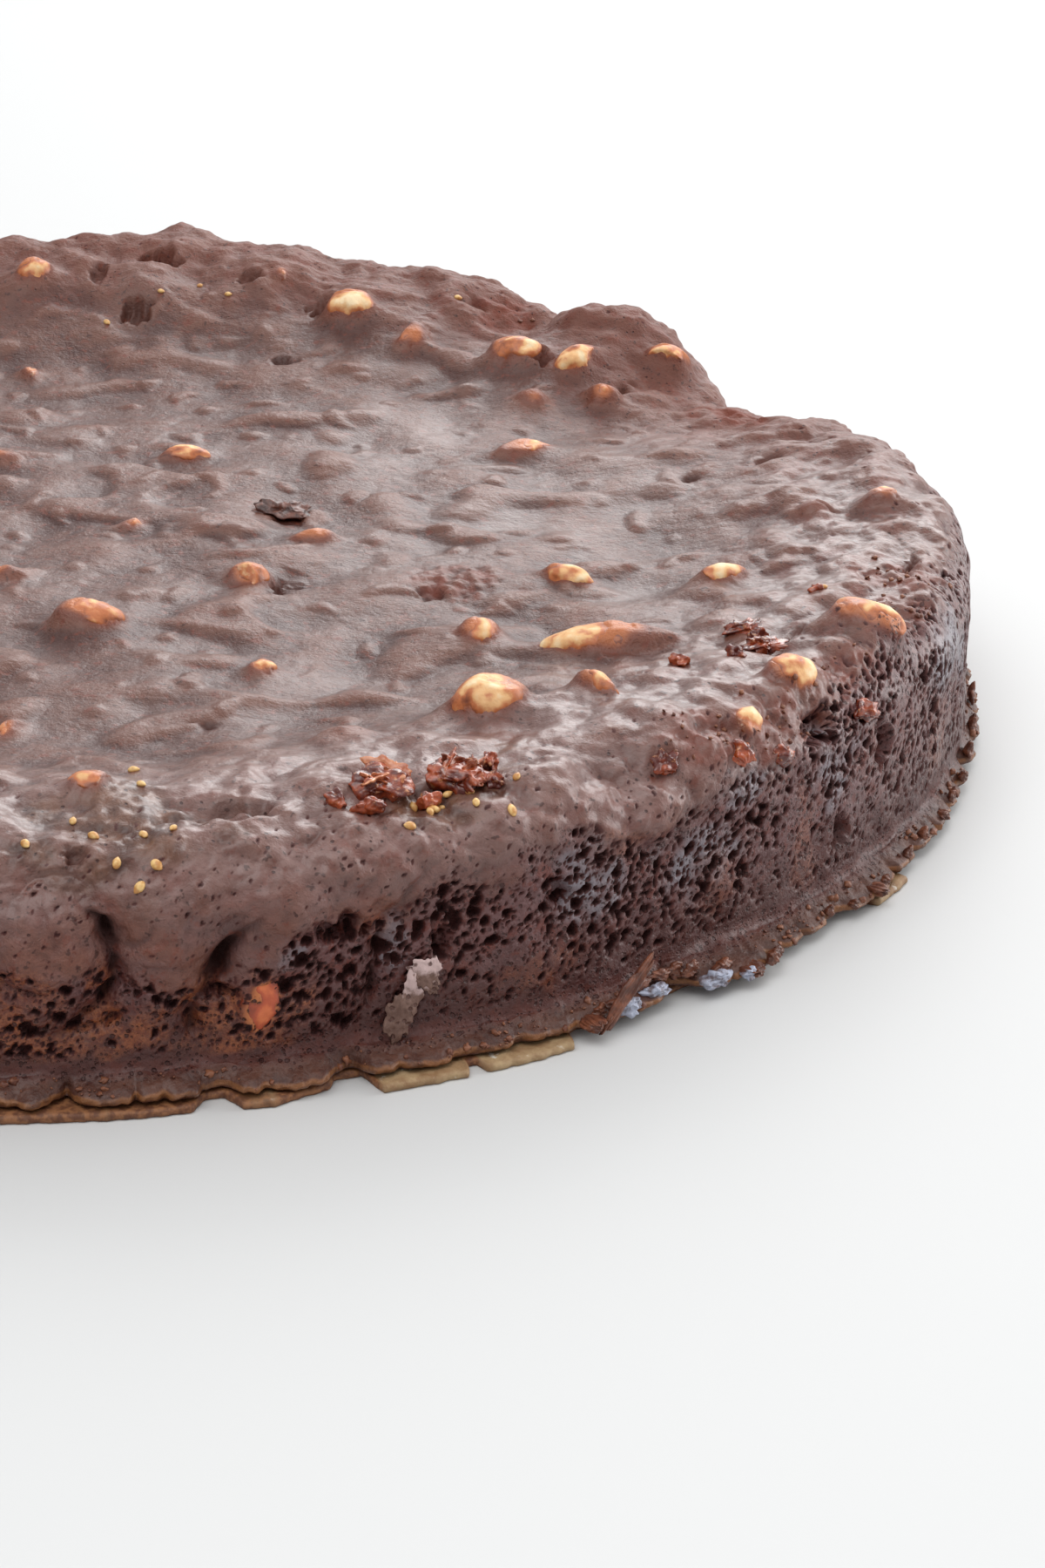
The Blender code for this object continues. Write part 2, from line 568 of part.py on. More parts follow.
for number, (degrees, reach) in enumerate(SEEDS):
    mesh = body(f"seed_{number}", (0.75 * MM, 0.62 * MM, 0.6 * MM), 130 + number, around=5, rows=2)
    fused(stand(mesh, math.radians(degrees), reach * MM, number * 1.3, 0.15 * MM))
for number, (degrees, reach, long, wide) in enumerate(BITS):
    mesh = body(f"bit_{number}", (long * MM, wide * MM, 1.2 * MM), 160 + number, around=6, rows=2)
    fused(stand(mesh, math.radians(degrees), reach * MM, number * 0.9, 0.1 * MM))
for number, (degrees, radius, height, deep, wide, tall, lean) in enumerate(FLAKES):
    angle = math.radians(degrees)
    half = (deep * MM, wide * MM, tall * MM)
    mesh = body(f"flake_{number}", half, 190 + number, around=6, rows=3, rough=0.5)
    place = Matrix.Translation((radius * MM * math.cos(angle), radius * MM * math.sin(angle), height * MM))
    mesh.transform(place @ Matrix.Rotation(angle, 4, "Z") @ Matrix.Rotation(math.radians(lean), 4, "X"))
    fused(mesh)

join = cake.modifiers.new("toppings", "BOOLEAN")
join.operation = "UNION"
join.operand_type = "COLLECTION"
join.collection = toppings
join.solver = "EXACT"

# The finished body replaces the stack of modifiers, then loose scraps smaller than the cake go.
bpy.context.view_layer.update()
graph = bpy.context.evaluated_depsgraph_get()
whole = bpy.data.meshes.new_from_object(cake.evaluated_get(graph))
cake.modifiers.clear()
cake.data = whole
for group in (sockets, toppings):
    for helper in list(group.objects):
        bpy.data.objects.remove(helper, do_unlink=True)
    bpy.data.collections.remove(group)

work = bmesh.new()
work.from_mesh(whole)
bmesh.ops.triangulate(work, faces=work.faces[:])
bmesh.ops.remove_doubles(work, verts=work.verts[:], dist=0.00002)
bmesh.ops.dissolve_degenerate(work, edges=work.edges[:], dist=0.00001)
bmesh.ops.triangulate(work, faces=work.faces[:])
unseen = set(work.verts)
islands = []
while unseen:
    group = {unseen.pop()}
    queue = list(group)
    while queue:
        for edge in queue.pop().link_edges:
            for vert in edge.verts:
                if vert in unseen:
                    unseen.discard(vert)
                    group.add(vert)
                    queue.append(vert)
    islands.append(group)
islands.sort(key=len, reverse=True)
for island in islands[1:]:
    bmesh.ops.delete(work, geom=list(island), context="VERTS")
bmesh.ops.recalc_face_normals(work, faces=work.faces[:])
print("scraps dropped:", len(islands) - 1, "triangles in the cake:", len(work.faces))
work.to_mesh(whole)
work.free()
whole.shade_smooth()
total = sum(len(p.vertices) - 2 for o in bpy.data.objects if o.type == "MESH" for p in o.data.polygons)
print("objects", len(bpy.data.objects), "triangles in all", total)
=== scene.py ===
# %% [markdown]
# # A panforte, from its solids to its finished looks
#
# A panforte is a flat, dense cake of fruit, nuts and spiced syrup, baked in a shallow round tin
# on a sheet of rice paper. This one is whole and 230 mm across. Its top sank in the oven and left
# a raised rim, its wall took the print of the tin, and a thin lip spread out under the wall.
#
# The solids come first: they fix where everything is. Each visible piece is then built again at
# a fine scale in the same frame, so every number here is a real size. Lengths in the sums are
# millimetres, because cake is easier to think of that way, and meshes are made in metres.

# %% Load the solids and keep their box
import math

import bpy
import numpy as np
from mathutils import Matrix, Vector
from mathutils.bvhtree import BVHTree


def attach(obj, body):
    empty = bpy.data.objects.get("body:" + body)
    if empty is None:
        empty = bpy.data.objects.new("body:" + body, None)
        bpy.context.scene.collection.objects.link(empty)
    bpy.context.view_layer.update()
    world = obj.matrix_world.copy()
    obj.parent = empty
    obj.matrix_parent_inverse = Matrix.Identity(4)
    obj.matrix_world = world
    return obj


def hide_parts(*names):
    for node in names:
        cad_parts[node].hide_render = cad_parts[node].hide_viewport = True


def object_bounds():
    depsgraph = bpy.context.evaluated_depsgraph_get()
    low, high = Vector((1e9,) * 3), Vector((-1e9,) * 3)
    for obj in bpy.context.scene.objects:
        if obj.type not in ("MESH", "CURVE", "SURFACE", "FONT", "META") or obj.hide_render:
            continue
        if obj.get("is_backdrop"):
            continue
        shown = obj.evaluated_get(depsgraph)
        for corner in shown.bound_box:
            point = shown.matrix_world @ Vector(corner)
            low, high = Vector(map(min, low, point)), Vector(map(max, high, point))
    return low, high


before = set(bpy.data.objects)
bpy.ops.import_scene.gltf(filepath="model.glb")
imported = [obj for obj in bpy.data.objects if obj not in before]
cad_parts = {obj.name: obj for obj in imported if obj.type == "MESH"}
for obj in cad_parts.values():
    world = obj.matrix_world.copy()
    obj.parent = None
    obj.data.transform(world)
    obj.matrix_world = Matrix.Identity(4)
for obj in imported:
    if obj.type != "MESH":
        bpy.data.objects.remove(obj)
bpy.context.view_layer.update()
MM = 0.001

# %% [markdown]
# ## The camera, the floor and the light
#
# The cake is seen from close by and a little above, so its near edge looms over its far one. A
# 71 mm lens at 0.4 m does that. The floor is plain and pale. The light is a soft room: bright
# behind the cake and dimmer in front, so that the damp top takes a grey sheen and the near wall
# stays dark.

# %% Camera
FOCUS_DISTANCE = 0.4025
LOOK_DOWN = math.radians(24.16)
ROLL = math.radians(1.6)
across = Vector((1, 0, 0))
upward = Vector((0, math.sin(LOOK_DOWN), math.cos(LOOK_DOWN)))
forward = Vector((0, math.cos(LOOK_DOWN), -math.sin(LOOK_DOWN)))
camera = bpy.data.objects.new("camera", bpy.data.cameras.new("camera"))
bpy.context.scene.collection.objects.link(camera)
camera.data.lens = 70.88
camera.data.sensor_width = 36
camera.data.clip_start = 0.01
camera.data.clip_end = 50
side = across * math.cos(ROLL) + upward * math.sin(ROLL)
crown = upward * math.cos(ROLL) - across * math.sin(ROLL)
turn = Matrix((side, crown, -forward)).transposed().to_4x4()
camera.matrix_world = Matrix.Translation(Vector((0.0576, 0, -0.0147)) - forward * FOCUS_DISTANCE) @ turn
bpy.context.scene.camera = camera
bpy.context.scene.view_settings.view_transform = "Standard"
print("camera at", [round(v, 3) for v in camera.matrix_world.translation])


# %% Lamps
def softbox(name, place, size, watts, colour=(1, 1, 1)):
    """A square lamp at a place, turned to face the cake."""
    lamp = bpy.data.objects.new(name, bpy.data.lights.new(name, "AREA"))
    bpy.context.scene.collection.objects.link(lamp)
    lamp.data.size = size
    lamp.data.energy = watts
    lamp.data.color = colour
    lamp.location = place
    lamp.rotation_euler = (-Vector(place)).to_track_quat("-Z", "Y").to_euler()
    return lamp


softbox("lamp_back", (0.35, 1.3, 0.75), 1.0, 11)
softbox("lamp_front", (-0.30, -0.45, 1.45), 1.2, 10)
softbox("lamp_right", (1.3, 0.5, 0.42), 0.9, 10)

print("lamps:", len(bpy.data.lights))

# %% The soft room round the cake
TOWARDS_THE_BACK = (0.42, 0.91, 0.0)
EVEN_GLOW = 0.23
world = bpy.data.worlds.new("soft room")
bpy.context.scene.world = world
world.use_nodes = True
nodes, links = world.node_tree.nodes, world.node_tree.links
nodes.clear()


def room_ramp(source, low, high, at_low, at_high):
    """Ease one range of numbers into another, with level ends."""
    ramp = nodes.new("ShaderNodeMapRange")
    ramp.interpolation_type = "SMOOTHSTEP"
    for socket, value in (("From Min", low), ("From Max", high), ("To Min", at_low), ("To Max", at_high)):
        ramp.inputs[socket].default_value = value
    links.new(source, ramp.inputs["Value"])
    return ramp.outputs["Result"]


def room_sum(operation, first, second):
    """Add or multiply two sockets, or a socket and a number."""
    made = nodes.new("ShaderNodeMath")
    made.operation = operation
    links.new(first, made.inputs[0])
    if isinstance(second, float):
        made.inputs[1].default_value = second
    else:
        links.new(second, made.inputs[1])
    return made.outputs[0]


bearing = nodes.new("ShaderNodeTexCoord").outputs["Generated"]
split = nodes.new("ShaderNodeSeparateXYZ")
towards = nodes.new("ShaderNodeVectorMath")
towards.operation = "DOT_PRODUCT"
towards.inputs[1].default_value = TOWARDS_THE_BACK
links.new(bearing, split.inputs[0])
links.new(bearing, towards.inputs[0])
behind = room_ramp(towards.outputs["Value"], -0.2, 0.85, 0.0, 0.60)
low_band = room_ramp(split.outputs["Z"], 0.35, 0.95, 1.0, 0.0)
overhead = room_ramp(split.outputs["Z"], 0.05, 0.9, 0.0, 0.60)
room_light = room_sum("ADD", room_sum("MULTIPLY", behind, low_band), EVEN_GLOW)
glow = nodes.new("ShaderNodeBackground")
glow.inputs["Color"].default_value = (0.97, 0.985, 1.0, 1)
out = nodes.new("ShaderNodeOutputWorld")
links.new(room_sum("ADD", overhead, room_light), glow.inputs["Strength"])
links.new(glow.outputs[0], out.inputs[0])
print("room light:", len(nodes), "nodes")

# %% Floor
bpy.ops.mesh.primitive_plane_add(size=8, location=(0, 0, 0))
floor = bpy.context.object
floor.name = "floor"
floor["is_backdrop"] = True
print("floor is", round(floor.dimensions.x, 1), "m across")

# %% [markdown]
# ## A small language for materials
#
# A material's patterns are sums on fields of numbers. Wrapping a socket in a class that knows
# +, - and * lets each finish be written as one reads it, and the class adds the nodes.


# %% The socket class
class Field:
    """A node's output in one material, with arithmetic on it."""

    def __init__(self, tree, socket):
        self.tree = tree
        self.socket = socket

    def _math(self, kind, *others, clamp=False):
        node = self.tree.nodes.new("ShaderNodeMath")
        node.operation = kind
        node.use_clamp = clamp
        for slot, value in zip(node.inputs, (self, *others)):
            if isinstance(value, Field):
                self.tree.links.new(value.socket, slot)
            else:
                slot.default_value = value
        return Field(self.tree, node.outputs[0])

    def __add__(self, other):
        return self._math("ADD", other)

    __radd__ = __add__

    def __mul__(self, other):
        return self._math("MULTIPLY", other)

    __rmul__ = __mul__

    def __sub__(self, other):
        return self._math("SUBTRACT", other)

    def __rsub__(self, other):
        return (self * -1) + other

    def clamp(self):
        return self._math("ADD", 0.0, clamp=True)

    def above(self, low, high):
        """0 below low, 1 above high and smooth between."""
        node = self.tree.nodes.new("ShaderNodeMapRange")
        node.interpolation_type = "SMOOTHSTEP"
        self.tree.links.new(self.socket, node.inputs["Value"])
        node.inputs["From Min"].default_value = low
        node.inputs["From Max"].default_value = high
        return Field(self.tree, node.outputs["Result"])


print("a Field adds nodes for:", ", ".join(name for name in vars(Field) if not name.startswith("_")))


# %% The material class
class Finish:
    """A material in the making: its Principled shader, and the nodes that feed it."""

    def __init__(self, name, **constants):
        self.material = bpy.data.materials.new(name)
        self.material.use_nodes = True
        self.tree = self.material.node_tree
        self.shader = self.tree.nodes["Principled BSDF"]
        for slot, value in constants.items():
            self.shader.inputs[slot.replace("_", " ")].default_value = value

    def node(self, kind, settings=(), values=(), output=0):
        """Add any node: its settings first, then a value or a link for each named socket."""
        made = self.tree.nodes.new(kind)
        for key, value in dict(settings).items():
            setattr(made, key, value)
        for key, value in dict(values).items():
            if isinstance(value, Field):
                self.tree.links.new(value.socket, made.inputs[key])
            else:
                made.inputs[key].default_value = value
        return Field(self.tree, made.outputs[output])

    def here(self):
        """The place on the piece, in metres."""
        return self.node("ShaderNodeTexCoord", output="Object")

    def noise(self, size, detail=3.0, rough=0.55, where=None, twist=0.0):
        """Cloudy noise with features of a size in mm, about 0 to 1."""
        values = {
            "Vector": where or self.here(),
            "Scale": 1000.0 / size,
            "Detail": detail,
            "Roughness": rough,
            "Distortion": twist,
        }
        return self.node("ShaderNodeTexNoise", values=values)

    def cells(self, size, feature="F1", where=None, jitter=1.0):
        values = {"Vector": where or self.here(), "Scale": 1000.0 / size, "Randomness": jitter}
        return self.node("ShaderNodeTexVoronoi", {"feature": feature}, values, output="Distance")

    def shifted(self, where, by, size):
        """Places pushed about by coloured noise, by a number of mm."""
        values = {"Vector": where, "Scale": 1000.0 / size, "Detail": 2.0}
        noise = self.node("ShaderNodeTexNoise", values=values, output="Color")
        settings = {"operation": "MULTIPLY_ADD"}
        return self.node("ShaderNodeVectorMath", settings, {0: noise, 1: (by * MM,) * 3, 2: where})

    def pocks(self, size, low, high, uneven=0.35):
        """1 in the middle of small round pits, 0 between them; cells of a size in mm."""
        where = self.shifted(self.here(), uneven * size, size * 0.8)
        return 1 - self.cells(size, where=where).above(low, high)

    def carried(self, name):
        """A number that the mesh carries at each vertex."""
        return self.node("ShaderNodeAttribute", {"attribute_name": name}, output="Fac")

    def blend(self, share, low, high, kind="MIX"):
        """Mix two colours, each a Field or three numbers."""
        made = self.tree.nodes.new("ShaderNodeMix")
        made.data_type = "RGBA"
        made.blend_type = kind
        made.clamp_factor = True
        for slot, value in ((made.inputs[0], share), (made.inputs[6], low), (made.inputs[7], high)):
            if isinstance(value, Field):
                self.tree.links.new(value.socket, slot)
            elif isinstance(value, tuple):
                slot.default_value = (*value, 1)
            else:
                slot.default_value = value
        return Field(self.tree, made.outputs[2])

    def feed(self, **sockets):
        for key, value in sockets.items():
            self.tree.links.new(value.socket, self.shader.inputs[key.replace("_", " ")])

    def bump(self, height, scale=1.0):
        """Bend the shading by a height field given in mm."""
        made = self.tree.nodes.new("ShaderNodeBump")
        made.inputs["Distance"].default_value = scale * MM
        self.tree.links.new(height.socket, made.inputs["Height"])
        self.tree.links.new(made.outputs["Normal"], self.shader.inputs["Normal"])


print("a Finish adds nodes for:", ", ".join(name for name in vars(Finish) if not name.startswith("_")))

# %% The floor's paint, as a first finish
paper_white = Finish("floor_paint", Roughness=0.6, Specular_IOR_Level=0.2)
paper_white.shader.inputs["Base Color"].default_value = (0.655, 0.655, 0.65, 1)
floor.data.materials.append(paper_white.material)
print("finish on the floor:", floor.data.materials[0].name)

# %% [markdown]
# ## Noise, and the plain shape of the skin
#
# Baked dough is never flat. Its lumps come in sizes, from the nuts that push the skin up to the
# grain of the crumb, so one noise function takes the size of its lumps. The skin is a profile
# swept round the axis: over the dish of the top, round the shoulder and down the wall. A place on
# it has an angle and a reach, which is the distance walked from the axis along the profile.


# %% Noise
def ease(value):
    """0 to 1 with level ends."""
    value = np.clip(value, 0.0, 1.0)
    return value * value * (3 - 2 * value)


def swell(places, size, seed):
    """Smooth lumps of one size at the given places, about -1 to 1."""
    scaled = places / size
    cell = np.floor(scaled).astype(np.int64)
    part = scaled - cell
    weight = part**3 * (part * (part * 6 - 15) + 10)
    total = np.zeros(len(places))
    for corner in np.ndindex(2, 2, 2):
        at = cell + corner
        mix = at[:, 0] * 374761393 + at[:, 1] * 668265263 + at[:, 2] * 974634777 + seed * 1274126177
        mix = ((mix ^ (mix >> 13)) * 1103515245 + 12345) & 0xFFFFFFFF
        mix = ((mix ^ (mix >> 15)) * 1664525) & 0xFFFFFFFF
        spin = (mix & 0xFFFF) * (2 * math.pi / 65536)
        up = ((mix >> 16) & 0xFFFF) / 32768 - 1
        flat = np.sqrt(np.maximum(0, 1 - up * up))
        away = part - corner
        lean = away[:, 0] * flat * np.cos(spin) + away[:, 1] * flat * np.sin(spin) + away[:, 2] * up
        share = np.where(np.array(corner) == 1, weight, 1 - weight).prod(axis=1)
        total += share * lean
    return total * 1.6


trial = swell(np.random.RandomState(1).uniform(0, 100, (2000, 3)), 5.0, 1)
print("noise runs from", round(float(trial.min()), 2), "to", round(float(trial.max()), 2))

# %% The skin's driving sizes
WALL_RADIUS = 111.5
CENTRE_HEIGHT = 19.0
BOWL_RADIUS = 62.0
SHOULDER_REACH = 8.5
SHOULDER_DROP = 7.0
SHOULDER_ARC = 12.2
WALL_FOOT = 4.5
LIP_RADIUS = 114.9
UNDERSIDE = 1.1
RIM_HEIGHTS = (
    (-180, 27.0), (-150, 26.0), (-120, 26.5), (-90, 25.6), (-75, 26.0), (-60, 26.0), (-45, 26.3),
    (-25, 26.0), (-8, 25.6), (3, 25.2), (14, 25.6), (21, 24.0), (28, 21.2), (35, 20.6), (40, 22.6),
    (45, 26.0), (50, 26.4), (54, 23.8), (58, 25.2), (62, 27.6), (75, 28.2), (80, 29.6), (86, 29.4),
    (89, 31.2), (92, 30.4), (104, 29.6), (120, 28.6), (150, 27.6), (180, 27.0),
)
print("the wall stands", WALL_RADIUS, "mm from the axis, and the lip", LIP_RADIUS, "mm")


# %% The skin's profile
def degrees_of(angle):
    return (np.degrees(angle) + 180) % 360 - 180


def rim_height(angle):
    return np.interp(degrees_of(angle), [a for a, h in RIM_HEIGHTS], [h for a, h in RIM_HEIGHTS])


def rim_inset(angle):
    """How far the wall stands in: the cake is pinched where the rim dips."""
    degrees = degrees_of(angle)
    pinch = 3.5 * np.exp(-(((degrees - 33) / 7) ** 2))
    return pinch - 1.2 * np.exp(-(((degrees + 10) / 15) ** 2))


def crest_reach(angle):
    return WALL_RADIUS - SHOULDER_REACH - rim_inset(angle)


def foot_reach(angle):
    return crest_reach(angle) + SHOULDER_ARC + rim_height(angle) - SHOULDER_DROP - WALL_FOOT


def skin_parts(angle, reach):
    """Plain places on the skin, the outward directions, and the lumps that the solid has there."""
    rim = rim_height(angle)
    crest = crest_reach(angle)
    rise = ease((reach - BOWL_RADIUS) / (crest - BOWL_RADIUS))
    bend = np.clip((reach - crest) / SHOULDER_ARC, 0, 1) * (math.pi / 2)
    down = np.maximum(0, reach - crest - SHOULDER_ARC)
    radius = np.minimum(reach, crest) + SHOULDER_REACH * np.sin(bend)
    height = CENTRE_HEIGHT + (rim - CENTRE_HEIGHT) * rise - SHOULDER_DROP * (1 - np.cos(bend)) - down
    places = np.stack([radius * np.cos(angle), radius * np.sin(angle), height], axis=-1)
    flat = places * [1, 1, 0.6]
    lumps = 1.1 * swell(flat, 26, 1) + 0.65 * swell(flat, 11, 2)
    edge = ease((reach - 80) / 20)
    lumps = lumps * (1 - 0.25 * edge) + edge * (0.9 * swell(flat, 17, 4) + 0.35 * swell(flat, 7, 5))
    lumps = lumps * (1 - 0.62 * ease(down / 6))
    outward = np.stack([np.cos(angle) * np.sin(bend), np.sin(angle) * np.sin(bend), np.cos(bend)], axis=-1)
    return places, outward, lumps


def skin(angle, reach):
    """Places on the skin of the solid."""
    places, outward, lumps = skin_parts(np.atleast_1d(angle), np.atleast_1d(reach))
    return places + outward * lumps[:, None]


def seat(angle, reach):
    """A frame on the skin: its place, the outward direction and the direction down the profile."""
    step = 1.5
    here = skin(angle, reach)[0]
    along = skin(angle, reach + step)[0] - skin(angle, reach - step)[0]
    swing = step / max(20.0, math.hypot(here[0], here[1]))
    beside = skin(angle + swing, reach)[0] - skin(angle - swing, reach)[0]
    out_from = np.cross(along, beside)
    return here, out_from / np.linalg.norm(out_from), along / np.linalg.norm(along)


print("rim stands", rim_height(np.radians(-60.0)), "to", rim_height(np.radians(89.0)), "mm high")

# %% [markdown]
# ## The pieces of nut
#
# Almonds and hazelnuts lie in the dough whole, halved or broken. Each is a rounded body with one
# or two flat broken faces, set on the skin at its own turn and height. The same rule made the
# solids, so the fine nuts lie where the solid ones do. Each row also says how much of its nut is
# bare of dough, and on which side, because a nut is brightest where the syrup ran off it.

# %% Where the nuts lie
# Name, angle, reach in mm, half-lengths in mm, yaw from +X, lift; then bareness and bright side.
NUTS = (
    ("nut_back_1", 101.5, 90.0, 3.3, 2.5, 2.1, 50, 0.25, 0.45, -90),
    ("nut_back_2", 69.5, 86.0, 3.7, 3.0, 2.6, 10, 0.30, 0.62, -70),
    ("nut_back_3", 61.5, 83.0, 3.6, 2.6, 2.3, 80, -0.05, 0.15, -90),
    ("nut_back_4", 50.0, 85.5, 4.2, 2.8, 2.4, -18, 0.35, 0.6, -20),
    ("nut_back_5", 44.5, 89.5, 4.0, 2.4, 2.3, 40, 0.25, 0.62, -90),
    ("nut_back_6", 41.0, 102.0, 3.3, 2.3, 2.0, -5, 0.25, 0.48, -90),
    ("nut_back_7", 42.5, 78.0, 2.8, 2.5, 1.9, 0, -0.10, 0.05, -90),
    ("nut_back_8", 39.0, 87.0, 2.7, 2.5, 2.3, 0, 0.15, 0.12, -90),
    ("nut_mid_1", 70.0, 32.0, 4.0, 1.9, 1.4, 8, 0.20, 0.6, -40),
    ("nut_mid_2", 31.0, 66.0, 4.3, 2.0, 1.5, 30, 0.25, 0.52, -20),
    ("nut_mid_3", 116.5, 28.5, 2.7, 1.8, 1.3, -20, 0.05, 0.25, 180),
    ("nut_mid_4", -3.5, 31.0, 3.3, 1.9, 1.5, 5, 0.00, 0.35, -90),
    ("nut_mid_5", -36.0, 29.5, 2.5, 2.4, 1.9, 0, 0.25, 0.5, -60),
    ("nut_mid_6", -79.0, 36.0, 4.6, 3.0, 2.3, 14, 0.30, 0.5, -10),
    ("nut_mid_7", -104.0, 20.5, 3.0, 1.9, 1.4, -8, 0.10, 0.35, 180),
    ("nut_right_1", -14.5, 64.5, 3.2, 2.1, 1.6, -28, 0.40, 0.8, -60),
    ("nut_right_2", -15.0, 83.5, 3.4, 2.0, 1.7, 32, 0.40, 0.74, -60),
    ("nut_right_3", -35.0, 63.5, 2.9, 2.6, 2.2, 45, 0.30, 0.48, -60),
    ("nut_right_4", -32.0, 79.5, 8.0, 3.7, 2.6, -6, 0.10, 0.44, 210),
    ("nut_right_5", -51.0, 86.0, 4.2, 3.8, 3.0, 0, 0.35, 0.68, -75),
    ("nut_right_6", -44.5, 91.5, 3.5, 1.4, 2.2, -50, 0.15, 0.62, -20),
    ("nut_front_1", -80.5, 95.5, 2.6, 2.2, 1.8, 0, 0.10, 0.35, -120),
    ("nut_rim_1", -25.0, 105.5, 4.9, 3.2, 2.8, -25, 0.20, 0.7, 60),
    ("nut_rim_2", -35.5, 105.0, 3.5, 2.7, 2.3, 30, 0.20, 0.6, -20),
    ("nut_rim_3", -1.0, 101.5, 2.6, 2.0, 1.8, 30, 0.20, 0.45, 20),
    ("nut_rim_4", -0.5, 93.0, 2.7, 1.9, 1.5, 0, -0.10, 0.15, -90),
    ("nut_west_1", -127.0, 51.5, 4.6, 2.8, 2.3, 60, 0.20, 0.6, 0),
    ("nut_west_2", -128.0, 84.0, 3.4, 3.0, 2.4, 20, 0.25, 0.8, 0),
    ("nut_west_3", 169.5, 44.5, 3.2, 2.1, 1.6, -40, 0.25, 0.7, 90),
    ("nut_west_4", -163.0, 74.5, 6.8, 3.4, 2.5, 75, 0.10, 0.4, -90),
    ("nut_west_5", 158.5, 71.0, 3.6, 2.4, 2.0, 15, 0.25, 0.7, 0),
    ("nut_west_6", 126.5, 61.0, 3.9, 2.3, 1.7, -15, 0.20, 0.6, 180),
    ("nut_west_7", 176.5, 88.0, 3.0, 2.6, 2.1, 0, 0.20, 0.6, 0),
    ("nut_west_8", 133.0, 91.5, 3.7, 2.7, 2.3, 35, 0.25, 0.7, -60),
    ("nut_west_9", -106.5, 83.5, 3.3, 2.2, 1.8, -30, 0.20, 0.5, 90),
    ("nut_west_10", -154.0, 100.0, 4.0, 2.8, 2.3, -60, 0.15, 0.5, 180),
    ("nut_west_11", 156.5, 100.5, 3.4, 2.5, 2.2, 70, 0.15, 0.5, 0),
    ("nut_west_12", 119.0, 100.5, 3.2, 2.3, 2.0, 10, 0.15, 0.6, -90),
    ("nut_west_13", -158.0, 24.0, 2.8, 1.9, 1.4, 25, 0.10, 0.4, 0),
    ("nut_west_14", -140.0, 102.0, 3.0, 2.2, 1.9, -20, 0.10, 0.5, 0),
)
# The same for the wall, with a height in place of a reach and the yaw from the way down.
WALL_NUTS = (
    ("nut_wall_1", -72.8, 9.0, 3.3, 2.0, 1.8, -14, -0.10, 0.62, 0),
    ("nut_wall_2", 166.0, 12.0, 3.2, 2.3, 1.9, -60, -0.10, 0.6, 0),
    ("nut_wall_3", 52.0, 10.5, 2.8, 2.1, 1.7, 40, -0.10, 0.6, 0),
)
print("rows of nuts:", len(NUTS), "on the top and rim,", len(WALL_NUTS), "in the wall")


# %% One body at a fine scale
def globe(around, rows):
    """Directions over a globe, and its faces."""
    turns = np.arange(around) * (2 * math.pi / around)
    tilts = np.arange(1, rows) * (math.pi / rows)
    grid = np.stack(
        [
            np.outer(np.sin(tilts), np.cos(turns)),
            np.outer(np.sin(tilts), np.sin(turns)),
            np.outer(np.cos(tilts), np.ones(around)),
        ],
        axis=-1,
    ).reshape(-1, 3)
    places = np.concatenate([[[0, 0, 1]], grid, [[0, 0, -1]]])
    faces = []
    for row in range(rows - 2):
        for i in range(around):
            j = (i + 1) % around
            low, high = 1 + row * around, 1 + (row + 1) * around
            faces.append((low + i, high + i, high + j, low + j))
    last = len(places) - 1
    for i in range(around):
        j = (i + 1) % around
        faces.append((0, 1 + i, 1 + j))
        faces.append((last - around + j, last - around + i, last))
    return places, faces


def fine_body(half, seed, around, rows, cuts=(), taper=0.0, rough=0.1):
    """A rounded, uneven body, and how much each vertex belongs to a broken face."""
    places, faces = globe(around, rows)
    spread = 1 + rough * swell(places * 1.3 + 7.3 * seed, 0.9, seed)
    shape = places * spread[:, None]
    narrow = 1 - taper * np.clip(shape[:, 0], 0, 1) ** 1.5
    shape[:, 1] *= narrow
    shape[:, 2] *= narrow
    broken = np.zeros(len(shape))
    for direction, share in cuts:
        normal = np.array(direction, float)
        normal /= np.linalg.norm(normal)
        over = shape @ normal - share
        smooth = 0.5 * (over + np.sqrt(over * over + 0.0016))
        shape -= smooth[:, None] * normal
        broken = np.maximum(broken, ease(over / 0.08))
    return shape * np.array(half), faces, broken


def cuts_of(name, modulus):
    """The number of a piece and its broken faces, drawn by the same rule as in the solids."""
    number = sum(ord(letter) for letter in name) % modulus
    chance = np.random.RandomState(number)
    cuts = []
    for _ in range(chance.randint(1, 3)):
        cuts.append((chance.normal(size=3) * [1, 1, 0.7], chance.uniform(0.5, 0.8)))
    return number, cuts


print("a fine nut has", len(globe(52, 30)[1]), "faces")


# %% A body on its seat
def stood(shape, angle, reach, yaw, lift, settle=1.0):
    """Turn a body's places on to its seat on the skin; settle shrinks what stands above it."""
    here, out_from, along = seat(angle, reach)
    beside = np.cross(out_from, along)
    local = np.array([along, beside, out_from])
    cos, sin = math.cos(yaw), math.sin(yaw)
    turned = shape @ np.array([[cos, sin, 0], [-sin, cos, 0], [0, 0, 1]])
    turned[:, 2] += lift
    turned[:, 2] = np.where(turned[:, 2] > 0, turned[:, 2] * settle, turned[:, 2])
    return turned @ local + here, out_from


def nut_row(row, wall=False):
    """Angle, reach, yaw and lift of one row, in radians and mm."""
    angle = math.radians(row[1])
    if wall:
        return angle, float(foot_reach(angle)) - (row[2] - WALL_FOOT), math.radians(row[6]), row[7] * row[5]
    return angle, row[2], math.radians(row[6]) - angle, row[7] * row[5]


